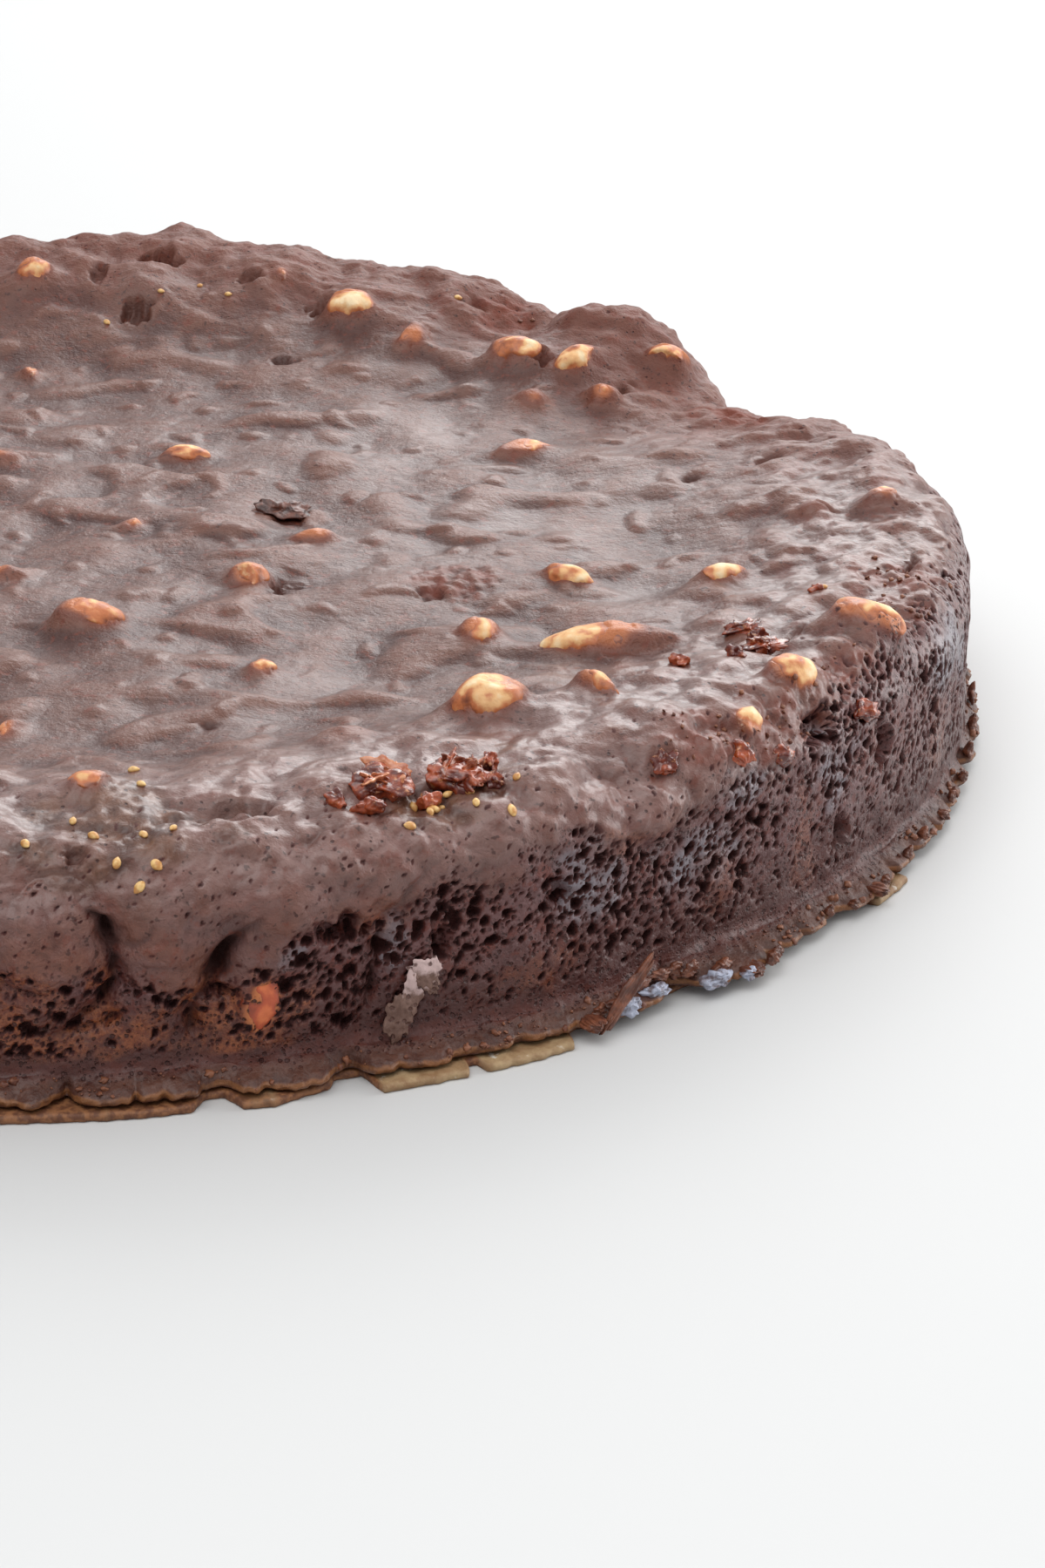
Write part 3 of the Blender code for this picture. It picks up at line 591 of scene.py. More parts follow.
nuts = []
for row, wall in [(row, False) for row in NUTS] + [(row, True) for row in WALL_NUTS]:
    number, cuts = cuts_of(row[0], 97)
    taper = 0.45 if row[3] > 1.6 * row[4] else 0.12
    shape, faces, broken = fine_body(row[3:6], number, 52, 30, cuts, taper)
    angle, reach, yaw, lift = nut_row(row, wall)
    grain = swell(shape + number * 11.0, 0.7, 3) * 0.05 + swell(shape + number * 7.0, 1.9, 4) * 0.10
    ridges = np.abs(swell(shape * [0.6, 1.6, 1.6] + number * 5.0, 1.1, 6)) * 0.16 - 0.03
    length = np.linalg.norm(shape, axis=1, keepdims=True)
    shape = shape * (1 + (grain * (1 + broken) + ridges * broken)[:, None] / np.maximum(length, 0.5))
    places, out_from = stood(shape, angle, reach, yaw, lift, 0.5 if wall else 1.0)
    seat_at = seat(angle, reach)[0]
    nuts.append(
        {
            "name": row[0], "places": places, "faces": faces, "broken": broken, "out": out_from,
            "middle": places.mean(axis=0), "size": max(row[3:6]), "bare": row[8],
            "turn": math.radians(row[9]), "seat": seat_at, "wall": wall,
        }
    )
print("nuts:", len(nuts), "with", sum(len(n["faces"]) for n in nuts), "faces")

# %% Chips too small to be pieces of their own
# Angle, reach, half-lengths, bareness and bright side. They are part of the cake.
CHIPS = (
    (103.5, 65.5, 1.8, 1.2, 0.35, 0), (10.0, 7.5, 2.1, 1.2, 0.45, 0), (-59.5, 55.5, 1.8, 1.4, 0.5, 0),
    (-87.5, 66.0, 2.3, 1.2, 0.4, 180), (78.5, 92.5, 2.0, 1.6, 0.1, 0), (-62.0, 83.5, 2.2, 1.9, -0.3, 0),
    (-42.0, 108.0, 2.0, 1.7, 0.75, 90), (-50.0, 113.0, 2.0, 1.8, -0.4, 0), (-149.0, 58.5, 1.9, 1.4, 0.4, 0),
    (140.0, 39.0, 2.0, 1.3, 0.4, 0), (-100.0, 57.0, 1.8, 1.4, 0.3, 0), (165.0, 86.0, 1.9, 1.5, 0.3, 0),
)
chips = []
for number, (degrees, at, long, wide, bare, turn_to) in enumerate(CHIPS):
    shape, faces, broken = fine_body((long, wide, 1.2), 160 + number, 28, 16, rough=0.25)
    angle_of = math.radians(degrees)
    places, out_from = stood(shape, angle_of, at, number * 0.9, 0.1)
    chips.append(
        {
            "places": places, "faces": faces, "broken": broken * 0 + 0.6, "out": out_from,
            "middle": places.mean(axis=0), "size": long, "bare": bare,
            "turn": math.radians(turn_to), "seat": seat(angle_of, at)[0], "wall": False,
        }
    )
print("chips:", len(chips))


# %% How bare a nut is
def bareness(nut, places):
    """How bare of dough a nut is at places on it: over 0.6 it is bare, under it a film lies on it."""
    away = (places - nut["middle"]) / nut["size"]
    bright = away @ np.array([math.cos(nut["turn"]), math.sin(nut["turn"]), 0.0])
    top = max(0.3, float(((nut["places"] - nut["seat"]) @ nut["out"]).max()))
    height = np.clip((places - nut["seat"]) @ nut["out"] / top, -0.5, 1.0)
    patch = swell(places, 2.0, 21) * 0.34 + swell(places, 0.8, 22) * 0.14
    pull = 0.75 if nut["size"] > 6 else 0.42
    return nut["bare"] - 0.13 + pull * bright + 0.70 * (height - 0.64) + patch


barest = max(nuts, key=lambda nut: float(bareness(nut, nut["places"]).mean()))
print("the barest nut is", barest["name"])

# %% [markdown]
# ## The relief of the skin
#
# The top is a brown skin, drawn smooth over what lies under it, with creases on the rim and a few
# holes. It laps over the shoulder and ends in a scalloped edge. Below that edge the dough was
# pressed against the tin and trapped air: the wall there is a grey skin full of pits. Pits, folds
# and holes are real hollows, so they are made in the mesh, and the finest grain is left to the
# materials. Each feature also leaves a number on the mesh, which the materials read.

# %% Rings of vertices round the cake
# Piece, from reach to reach, how many vertices a ring has, and the step between rings.
WALK_STRETCHES = 103.0
WALK_ENDS = 129.6
BANDS = (
    ("cake_middle", 0.5, 4.0, 64, 0.5), ("cake_middle", 4.0, 10.0, 160, 0.45),
    ("cake_middle", 10.0, 20.0, 320, 0.42), ("cake_middle", 20.0, 34.0, 560, 0.42),
    ("cake_middle", 34.0, 52.0, 900, 0.42), ("cake_top", 52.0, 80.0, 1320, 0.42),
    ("cake_rim", 80.0, WALK_STRETCHES, 1800, 0.43), ("cake_shoulder", WALK_STRETCHES, 110.0, 2400, 0.29),
    ("cake_wall_upper", 110.0, 116.0, 3000, 0.24), ("cake_wall_lower", 116.0, 122.0, 3000, 0.24),
    ("cake_foot", 122.0, WALK_ENDS, 3000, 0.25),
)
DRAFT = 1.0


def rings_of_skin():
    """Rings as (piece, vertices in the ring, share of the way), for the whole skin."""
    rings = []
    for piece, start, end, count, step in BANDS:
        steps = max(2, round((end - start) / step * DRAFT))
        for i in range(steps):
            rings.append((piece, int(count * DRAFT), start + (end - start) * i / steps))
    rings.append(("cake_foot", int(BANDS[-1][3] * DRAFT), BANDS[-1][2]))
    return rings


rings = rings_of_skin()
counts = np.array([count for piece, count, reach in rings])
starts = np.concatenate([[0], np.cumsum(counts)])
angle = np.concatenate([np.arange(c) * (2 * math.pi / c) for c in counts])
walked = np.concatenate([np.full(c, reach) for (p, c, reach) in rings])
# The wall's rings keep level with its foot: the walk is stretched to end there all the way round.
stretch = (foot_reach(angle) - WALK_STRETCHES) / (WALK_ENDS - WALK_STRETCHES)
stretched = WALK_STRETCHES + (walked - WALK_STRETCHES) * stretch
reach = np.where(walked > WALK_STRETCHES, stretched, walked)
plain, outward, lumps = skin_parts(angle, reach)
down = np.maximum(0, reach - crest_reach(angle) - SHOULDER_ARC)
rolled = np.stack([angle * WALL_RADIUS, reach, np.zeros_like(reach)], axis=1)
on_rim = ease((reach - 74) / 24) * (1 - ease((reach - 112) / 8))
on_top = 1 - ease((reach - crest_reach(angle) - 4) / 9)
print("skin vertices:", len(reach))

# %% Where the brown skin ends on the wall
SKIN_EDGE = (
    (-180, 117), (-170, 113), (-160, 119), (-150, 116), (-142, 111), (-130, 114), (-122, 120),
    (-112, 118), (-104, 114), (-95, 117), (-88, 118.5), (-85.3, 119.2), (-82.8, 121.2), (-80, 119.5),
    (-78.2, 121.8), (-76.5, 123.8), (-74, 122.5), (-72.2, 121), (-70.5, 117.5), (-68.7, 116.4),
    (-66.6, 118.8), (-64.5, 117), (-62.6, 115.2), (-59.8, 115.6), (-57.8, 113.8), (-55.6, 113),
    (-53.1, 115.6), (-49.6, 117), (-46.8, 114.6), (-44.1, 113.4), (-41.1, 114.6), (-38.5, 112.5),
    (-35.2, 109.6), (-29, 108), (-20.8, 108), (-14, 108.6), (-5, 111), (6, 110), (18, 113), (33, 110),
    (45, 115), (57, 112), (70, 117), (84, 114), (98, 118), (112, 113), (126, 119), (140, 113),
    (154, 118), (168, 114), (180, 117),
)
edge_reach = np.interp(degrees_of(angle), [a for a, r in SKIN_EDGE], [r for a, r in SKIN_EDGE])
ragged_edge = swell(rolled, 5.0, 50) * 1.3 + swell(rolled, 3.0, 51) * 1.4 + swell(rolled, 1.3, 52) * 1.1
past_edge = reach - edge_reach - ragged_edge
# Only in places does the brown skin hang over in lobes; elsewhere it fades into the wall.
lobed = np.clip(ease((-64 - degrees_of(angle)) / 4) * ease((degrees_of(angle) + 118) / 6), 0, 1)
far_side = ease((degrees_of(angle) - 5) / 30)
lobed = np.maximum(lobed, ease(swell(rolled * [1, 0, 0], 34, 53) * 2.2 - 0.2) * far_side)
pressed = ease(past_edge / (4.4 - 1.0 * lobed) + 0.5)
print("the wall's bare, pressed share is", round(float(pressed[reach > WALK_STRETCHES].mean()), 2))

# %% Folds in the dough, as lines on the skin
# Each: points of angle and reach, half-width and depth in mm.
FOLDS = (
    (((-81.6, 112.5), (-80.6, 114.5), (-79.9, 117.6), (-79.8, 121.6), (-80.9, 124.4), (-82.2, 125.4)),
     0.75, 2.2),
    (((-72.6, 115.2), (-73.6, 117.4), (-74.5, 119.9), (-75.0, 122.4), (-75.9, 124.0)), 0.95, 2.3),
    (((-75.9, 124.0), (-76.3, 126.4), (-76.1, 129.0)), 0.55, 1.4),
    (((-73.4, 124.4), (-74.6, 123.6), (-75.9, 124.0)), 0.45, 1.2),
    (((-66.2, 117.5), (-66.6, 121.0), (-66.8, 125.0), (-67.4, 128.6)), 0.55, 1.6),
    (((-84.0, 127.0), (-80.5, 126.2), (-79.2, 124.6)), 0.4, 0.9),
    (((-88.0, 121.5), (-86.0, 120.2), (-84.0, 121.8), (-82.5, 122.0)), 0.4, 0.8),
    (((-98.0, 113.0), (-99.2, 117.0), (-98.6, 121.0), (-100.0, 125.0)), 0.7, 1.9),
    (((-112.0, 114.0), (-112.6, 118.0), (-111.4, 123.0)), 0.75, 1.9),
    (((-126.0, 115.0), (-124.8, 119.0), (-126.2, 124.0)), 0.6, 1.5),
    (((-150.0, 113.0), (-149.2, 117.0), (-150.4, 122.0), (-149.8, 126.0)), 0.8, 2.0),
    (((128.0, 114.0), (128.8, 119.0), (127.4, 124.0)), 0.8, 2.0),
    (((80.0, 113.0), (79.2, 118.0), (80.4, 123.0)), 0.75, 1.9),
    (((10.0, 116.0), (10.6, 121.0), (9.6, 125.0)), 0.6, 1.6),
    (((160.0, 115.0), (159.0, 120.0), (160.2, 124.0)), 0.6, 1.6),
    (((-56.0, 99.5), (-53.5, 103.0), (-51.8, 107.0), (-50.8, 111.0)), 1.3, 0.5),
    (((-46.5, 104.5), (-43.5, 107.5), (-40.0, 108.5), (-37.5, 110.5)), 0.9, 0.8),
    (((-66.0, 97.5), (-62.5, 99.0), (-59.5, 100.2), (-57.8, 103.5)), 1.1, 0.9),
    (((15.6, 95.0), (16.4, 98.5), (14.5, 101.0)), 0.35, 0.8),
    (((12.9, 79.2), (13.8, 80.6), (13.4, 82.0)), 0.45, 0.9),
    (((13.4, 89.0), (14.2, 91.6), (13.2, 93.5)), 0.4, 0.9),
    (((38.0, 89.0), (39.8, 91.5), (40.6, 93.6), (39.2, 94.4)), 0.45, 1.3),
    (((0.9, 91.0), (-0.6, 94.0), (-1.6, 96.0)), 0.4, 1.0),
    (((-27.0, 32.4), (-34.0, 32.4), (-35.5, 34.2), (-40.5, 34.6)), 0.5, 1.1),
    (((-32.5, 33.4), (-30.5, 35.6)), 0.35, 0.8),
    (((-74.0, 67.0), (-70.5, 67.6), (-68.0, 69.6)), 0.4, 0.6),
    (((-14.5, 106.0), (-12.6, 104.6), (-10.8, 105.6), (-9.0, 104.6)), 0.4, 1.0),
    (((-31.5, 99.5), (-28.2, 98.5), (-25.0, 100.0), (-22.0, 99.2)), 0.4, 0.9),
)


def off_line(points):
    """Distance from a bent line on the skin, in mm, and the share of the way along it."""
    best = np.full(len(reach), 1e3)
    way = np.zeros(len(reach))
    middle = np.mean([a for a, r in points])
    near = np.abs((degrees_of(angle) - middle + 180) % 360 - 180) < 9
    near &= np.abs(reach - np.mean([r for a, r in points])) < 14
    scale = math.radians(1) * min(WALL_RADIUS, np.mean([r for a, r in points]))
    x = ((degrees_of(angle[near]) - middle + 180) % 360 - 180) * scale
    y = reach[near]
    x = x + swell(rolled[near], 2.2, 61) * 0.5
    close = np.full(near.sum(), 1e3)
    gone = np.zeros(near.sum())
    for step, ((a0, r0), (a1, r1)) in enumerate(zip(points, points[1:])):
        x0, x1 = (a0 - middle) * scale, (a1 - middle) * scale
        length = max(1e-6, (x1 - x0) ** 2 + (r1 - r0) ** 2)
        share = np.clip(((x - x0) * (x1 - x0) + (y - r0) * (r1 - r0)) / length, 0, 1)
        apart = np.hypot(x - x0 - share * (x1 - x0), y - r0 - share * (r1 - r0))
        gone = np.where(apart < close, (step + share) / (len(points) - 1), gone)
        close = np.minimum(close, apart)
    best[near] = close
    way[near] = gone
    return best, way


print("lines for folds:", len(FOLDS))

# %% Folds pressed into the skin
fold = np.zeros(len(reach))
shade = np.zeros(len(reach))
for points, width, depth in FOLDS:
    gap, way = off_line(points)
    # A fold opens wide in its middle and closes towards its ends; its bottom is uneven.
    unevenly = np.clip(0.8 + 0.8 * swell(rolled, 2.3, 62), 0.2, 1.2)
    open_here = (0.15 + ease(way * 3.2) * ease((1 - way) * 3.2)) * unevenly
    bottom = np.exp(-((gap / (width * (0.36 + 0.36 * open_here))) ** 2)) * open_here
    flanks = np.exp(-((gap / (width * 3.0)) ** 2)) * (0.4 + 0.6 * open_here)
    fold -= depth * (0.60 * flanks + 0.60 * bottom)
    shade = np.maximum(shade, min(0.80, depth / 2.6) * bottom)
print("folds reach", round(float(-fold.min()), 2), "mm deep")


# %% A spot on the skin
def spot(degrees, at, wide, tall, ragged=0.25, seed=71):
    """1 inside a spot on the skin, falling to 0 at its edge: half-widths round and along, in mm."""
    scale = math.radians(1) * min(WALL_RADIUS, at)
    x = ((degrees_of(angle) - degrees + 180) % 360 - 180) * scale / wide
    y = (reach - at) / tall
    gap = x * x + y * y
    near = gap < 6
    value = np.zeros(len(reach))
    loose = swell(plain[near] + outward[near] * 3, 0.35 * (wide + tall), seed) * ragged * 1.6
    value[near] = 1 - ease((np.sqrt(gap[near]) + loose - 0.55) / 0.9)
    return value


print("a spot 5 mm wide covers", int((spot(0.0, 95.0, 2.5, 2.5) > 0.5).sum()), "vertices")

# %% Bulges and hollows
# Each: angle, reach, half-widths round and along, height or depth, in mm.
BULGES = (
    (-82.9, 119.0, 4.6, 6.0, 1.3), (-77.6, 118.5, 4.2, 6.0, 1.0), (-71.6, 117.5, 4.6, 5.5, 0.9),
    (-50.0, 113.5, 3.0, 3.0, 1.2), (-57.0, 108.0, 7.0, 4.0, 0.9), (-44.0, 107.0, 6.0, 3.5, 0.9),
    (-89.0, 117.0, 5.0, 5.0, 0.8), (-105.0, 117.0, 5.0, 6.0, 1.0), (-155.0, 117.0, 5.0, 6.0, 1.0),
    (133.0, 117.0, 5.0, 6.0, 1.0), (75.0, 116.0, 5.0, 6.0, 0.9), (-66.0, 110.0, 6.0, 4.0, 0.6),
    (-62.0, 83.5, 3.2, 3.2, 0.8), (50.0, 100.0, 4.5, 3.5, 1.2), (46.5, 103.0, 3.0, 3.0, 1.0),
)
HOLLOWS = (
    (90.0, 94.5, 2.6, 1.9, 2.6), (91.5, 80.7, 2.1, 1.8, 2.0), (80.8, 90.5, 1.5, 1.5, 1.8),
    (47.4, 85.8, 1.7, 1.6, 2.0), (-73.8, 101.4, 4.6, 3.0, 1.8), (-24.5, 50.5, 1.9, 1.6, 0.8),
    (73.0, 71.8, 2.0, 1.2, 1.0), (72.8, 87.5, 2.4, 1.8, 1.8), (95.5, 90.5, 1.2, 2.4, 1.3),
    (-36.0, 111.5, 2.8, 2.2, 2.0), (-29.3, 118.8, 1.7, 2.4, 1.7), (-34.3, 125.5, 1.5, 1.9, 1.5),
    (-68.8, 118.3, 2.6, 1.5, 1.9), (-56.5, 119.0, 1.2, 1.4, 1.2), (-63.2, 121.0, 1.0, 1.5, 1.5),
    (-148.0, 68.0, 2.2, 1.8, 1.6), (145.5, 102.0, 2.4, 2.0, 2.0), (17.0, 26.9, 3.6, 1.5, 0.8),
    (-62.3, 103.6, 1.8, 2.6, 1.2), (-81.6, 107.2, 0.9, 1.0, 0.9), (60.0, 98.0, 2.0, 1.5, 1.2),
    (-170.0, 117.0, 2.2, 1.6, 1.6), (110.0, 118.0, 2.0, 1.6, 1.6), (-140.0, 120.0, 1.6, 2.0, 1.5),
)
bulge = np.zeros(len(reach))
for degrees, at, wide, tall, high in BULGES:
    bulge += high * spot(degrees, at, wide, tall, 0.1)
hollow = np.zeros(len(reach))
for number, (degrees, at, wide, tall, deep) in enumerate(HOLLOWS):
    dug = spot(degrees, at, wide, tall, 0.45, 72 + number)
    hollow += deep * dug**1.5
    shade = np.maximum(shade, dug**2 * 0.34)
print("bulges:", len(BULGES), "hollows:", len(HOLLOWS))


# %% Torn crumb, fig pulp, stains of syrup and spots of painted sheen
# Each: angle, reach, and half-widths round and along in mm.
def patches(rows, ragged, seed):
    """How far each vertex lies inside any of the spots."""
    covered = np.zeros(len(reach))
    for row in rows:
        covered = np.maximum(covered, spot(*row, ragged, seed))
    return covered


TORN = (
    (-19.0, 51.5, 4.5, 5.5), (-14.0, 104.5, 5.0, 5.0), (-39.0, 109.0, 6.0, 3.6), (-31.0, 107.5, 5.0, 3.0),
    (-20.0, 106.0, 6.0, 3.5), (57.0, 100.0, 4.5, 4.5), (-46.0, 107.5, 5.0, 3.0), (165.0, 104.0, 6.0, 4.0),
    (-100.0, 105.0, 5.0, 4.0), (30.0, 99.0, 6.0, 4.0), (-150.0, 48.0, 4.0, 4.0),
)
PULP = (
    (-79.0, 103.5, 8.5, 6.5), (-61.8, 104.8, 5.5, 3.2), (129.0, 102.0, 7.0, 5.0), (-149.0, 86.0, 5.0, 6.0),
)
STAINS = (
    (-85.5, 124.5, 7.0, 4.6), (-79.5, 126.5, 5.0, 2.6), (-74.0, 126.0, 6.5, 4.2),
    (-75.5, 128.5, 4.0, 2.0), (-87.5, 120.5, 2.4, 1.6),
    (-66.6, 118.5, 1.6, 2.6), (-34.3, 113.0, 2.4, 4.2), (-38.0, 124.0, 2.0, 6.0), (-45.5, 124.0, 4.0, 3.0),
    (-80.5, 121.0, 1.0, 2.2), (-110.0, 126.0, 6.0, 3.0), (-130.0, 125.0, 5.0, 3.0), (-165.0, 125.5, 6.0, 3.0),
    (150.0, 126.0, 6.0, 3.0), (118.0, 125.0, 5.0, 3.0), (90.0, 126.0, 6.0, 3.0), (60.0, 125.0, 5.0, 3.0),
    (25.0, 125.0, 6.0, 3.0), (0.0, 124.0, 4.0, 4.0), (-20.0, 125.0, 4.0, 4.0), (-53.0, 115.5, 4.0, 1.6),
    (-57.5, 126.5, 4.0, 2.0),
)
# Spots where the pressed wall is painted a bluish grey, as painted sheen.
SHEEN_SPOTS = (
    (-54.5, 118.0, 4.0, 4.2), (-43.5, 113.5, 3.2, 2.6), (-47.0, 120.5, 5.0, 3.4), (-35.0, 116.5, 4.0, 4.0),
    (-66.0, 120.5, 1.5, 2.5), (-76.8, 117.0, 1.2, 2.6), (-71.4, 119.8, 1.6, 1.2), (-18.0, 116.0, 7.0, 5.0),
    (30.0, 118.0, 7.0, 5.0), (75.0, 120.0, 6.0, 4.0), (120.0, 118.0, 6.0, 4.0), (175.0, 119.0, 6.0, 4.0),
    (-135.0, 119.0, 6.0, 4.0),
)
rough = patches(TORN, 0.5, 101)
pulp = patches(PULP, 0.45, 111)
bloom = patches(SHEEN_SPOTS, 0.5, 125)
# Syrup stains most at the near left and along the far side.
amber = np.zeros(len(reach))
for row in STAINS:
    strong = 1.0 if -90 < row[0] < -70 or row[0] > 0 else 0.45
    amber = np.maximum(amber, strong * spot(*row, 0.5, 121))
print("patches:", len(TORN) + len(PULP) + len(STAINS) + len(SHEEN_SPOTS))

# %% Pits of one kind
ROUND = 2 * math.pi * WALL_RADIUS


def pits(places, cell, smallest, largest, share, seed, flank):
    """Depth of pits on the rolled-out wall, as a share of each pit's own radius in mm."""
    across_cells = round(ROUND / cell)
    x = places[:, 0] / (ROUND / across_cells)
    y = places[:, 1] / cell
    cx, cy = np.floor(x).astype(np.int64), np.floor(y).astype(np.int64)
    depth = np.zeros(len(x))
    for dx in (-1, 0, 1):
        for dy in (-1, 0, 1):
            gx, gy = cx + dx, cy + dy
            mix = (gx % across_cells) * 374761393 + gy * 668265263 + seed * 974634777
            mix = ((mix ^ (mix >> 13)) * 1274126177) & 0xFFFFFFFF
            mix = ((mix ^ (mix >> 16)) * 1103515245 + 12345) & 0xFFFFFFFF
            jitter_x = (mix & 0x3FF) / 1023
            jitter_y = ((mix >> 10) & 0x3FF) / 1023
            size = ((mix >> 20) & 0x3F) / 63
            chosen = (((mix >> 26) ^ (mix >> 3)) & 0x3F) / 63
            radius = smallest + (largest - smallest) * size**1.6
            turn = size * 37.0
            ox, oy = (x - gx - jitter_x) * cell, (y - gy - jitter_y) * cell
            ux = ox * np.cos(turn) + oy * np.sin(turn)
            uy = oy * np.cos(turn) - ox * np.sin(turn)
            gap = np.sqrt((ux / 1.15) ** 2 + (uy / 0.88) ** 2)
            inside = ease((radius - gap) / flank) * radius
            depth = np.maximum(depth, np.where(chosen < share, inside, 0))
    return depth


print("the wall is", round(ROUND), "mm round")

# %% Pits in the pressed wall
# Where pits crowd: angle, reach, half-widths round and along in mm, and how much more or less.
CROWDED = (
    (-54.0, 119.5, 6.0, 6.0, 0.9), (-44.0, 117.0, 4.5, 4.0, 0.7), (-34.0, 115.0, 6.5, 6.0, 0.8),
    (-68.8, 122.0, 5.0, 7.0, 0.9), (-63.0, 119.5, 5.0, 5.0, 0.6), (-84.0, 126.0, 4.0, 3.0, 0.3),
    (-39.8, 127.0, 4.0, 3.0, -1.0), (-30.1, 128.0, 3.5, 3.5, -0.9), (-66.0, 129.5, 2.0, 3.0, -1.2),
    (-22.0, 120.0, 7.0, 8.0, 0.5), (-12.0, 118.0, 6.0, 8.0, 0.4), (-50.0, 125.0, 5.0, 4.0, 0.3),
    (-77.5, 125.5, 9.0, 4.0, -0.45), (-59.0, 125.0, 6.0, 4.0, -0.3), (-88.0, 124.0, 5.0, 5.0, -0.3),
)
below = reach > edge_reach - 4
rolled_wall = rolled[below]
bent = rolled_wall.copy()
bent[:, 0] += swell(rolled_wall, 1.3, 131) * 0.22 + swell(rolled_wall, 0.6, 133) * 0.10
bent[:, 1] += swell(rolled_wall + 40, 1.3, 132) * 0.22 + swell(rolled_wall + 40, 0.6, 134) * 0.10
crowd = 0.42 + 0.55 * swell(rolled_wall, 13, 135) + 0.3 * swell(rolled_wall, 5, 136)
for degrees, at, wide, tall, more in CROWDED:
    crowd += more * spot(degrees, at, wide, tall, 0.3, 141)[below]
crowd = np.clip(crowd, 0.04, 0.97)
low_down = 1 - ease((rolled_wall[:, 1] - foot_reach(angle[below]) + 0.9) / 0.9)
pit = np.zeros(len(reach))
coarse = pits(bent, 1.62, 0.32, 0.76, np.clip(crowd * 1.5 - 0.52, 0, 0.92), 151, 0.20)
middling = pits(bent, 1.06, 0.19, 0.44, 0.30 + crowd * 0.75, 152, 0.15)
fine = pits(bent, 0.74, 0.13, 0.25, 0.35 + crowd * 0.60, 153, 0.12)
pit[below] = np.maximum(np.maximum(coarse * 1.2, middling * 1.25), fine * 1.2)
pit[below] *= ease(pressed[below] * 1.5) * low_down
print("pits reach", round(float(pit.max()), 2), "mm deep")

# %% Pinholes in the brown skin
# They are few on top, and patches of them lie thick just above the wall.
by_the_wall = ease((reach - 105) / 6) * ease(swell(rolled, 5.5, 162) * 2.2 + 0.15)
pinhole_share = 0.08 + 0.34 * ease((reach - 96) / 16) + 0.55 * by_the_wall
pinholes = pits(rolled, 1.3, 0.12, 0.27, pinhole_share, 161, 0.13) * (1 - pressed)
pinholes *= ease((reach - 82) / 20)
print("vertices in pinholes:", int((pinholes > 0).sum()))

# %% Lumps, mounds, knobs and creases
# The middle is calm, with low mounds. The rim is knobbly, and drawn into fine creases.
flat = plain * [1, 1, 0.7]
swirl = np.stack([rolled[:, 0] / 3.2, rolled[:, 1], np.zeros_like(reach)], axis=1)
rumple = 0.85 * swell(flat, 10.0, 80) + (0.15 + 0.35 * on_rim) * swell(flat, 5.5, 81)
rumple += (0.09 + 0.14 * on_rim) * swell(flat, 2.6, 82) + (0.05 + 0.07 * on_rim) * swell(flat, 1.3, 83)
rumple += 0.45 * on_rim * swell(flat, 4.2, 94)
mounds = ease(swell(flat * [0.8, 1.15, 1], 8.5, 95) * 2.0 - 0.30) * 1.25
mounds += ease(swell(flat, 4.6, 96) * 2.2 - 0.60) * 0.6
rumple += mounds * (1 - 0.5 * on_rim)
knobs = np.abs(swell(flat, 7.5, 90)) ** 0.8 * 0.8 - 0.25
drawn = (1 - np.abs(swell(swirl + flat * 0.15, 2.6, 84)) * 3.0).clip(0, 1) ** 2
creased = ease(swell(flat, 15, 85) * 1.3 + 0.1)
rough_grain = swell(flat, 1.6, 86) * 0.40 + swell(flat, 0.8, 87) * 0.22
rough_grain += np.abs(swell(flat, 3.1, 88)) * 0.5
print("mounds stand up to", round(float(mounds.max()), 2), "mm")

# %% Fine relief of the skin
relief = rumple * on_top * (0.75 + 0.35 * on_rim) + knobs * on_rim * on_top * 0.7
relief -= 0.30 * drawn * creased * on_rim * (1 - pressed)
relief += rough * (rough_grain - 0.15)
relief += pulp * (swell(flat, 1.1, 89) * 0.35 - 0.2)
relief += (1 - on_top) * (0.42 * swell(plain, 6.0, 91) + 0.24 * swell(plain, 2.7, 92))
# Round the shoulder the skin is drawn tight and wrinkles as it dries.
on_shoulder = (1 - pressed) * ease((reach - crest_reach(angle) - 1) / 5)
creases = (1 - np.abs(swell(rolled * [0.7, 1, 1], 4.2, 97)) * 3.2).clip(0, 1) ** 2
creases *= ease(swell(flat, 9, 98) * 2 + 0.3)
relief += on_shoulder * (0.24 * swell(plain, 1.2, 93) + 0.20 * swell(plain, 2.4, 99) - 0.28 * creases)
relief += (0.15 + 0.25 * lobed) * (1 - pressed) * ease((reach - crest_reach(angle)) / 6)
relief += fold + bulge - hollow - pit * 1.2 - pinholes
height = lumps + relief
print("relief runs from", round(float(relief.min()), 2), "to", round(float(relief.max()), 2), "mm")

# %% [markdown]
# ## Dough drawn up round the nuts
#
# Syrupy dough wets a nut: it climbs the flanks and thins to a film. The skin is lifted over each
# nut by looking straight in from outside and finding how high the nut stands, then it is held a
# little under the nut where that is bare and a little over it where a film is left.

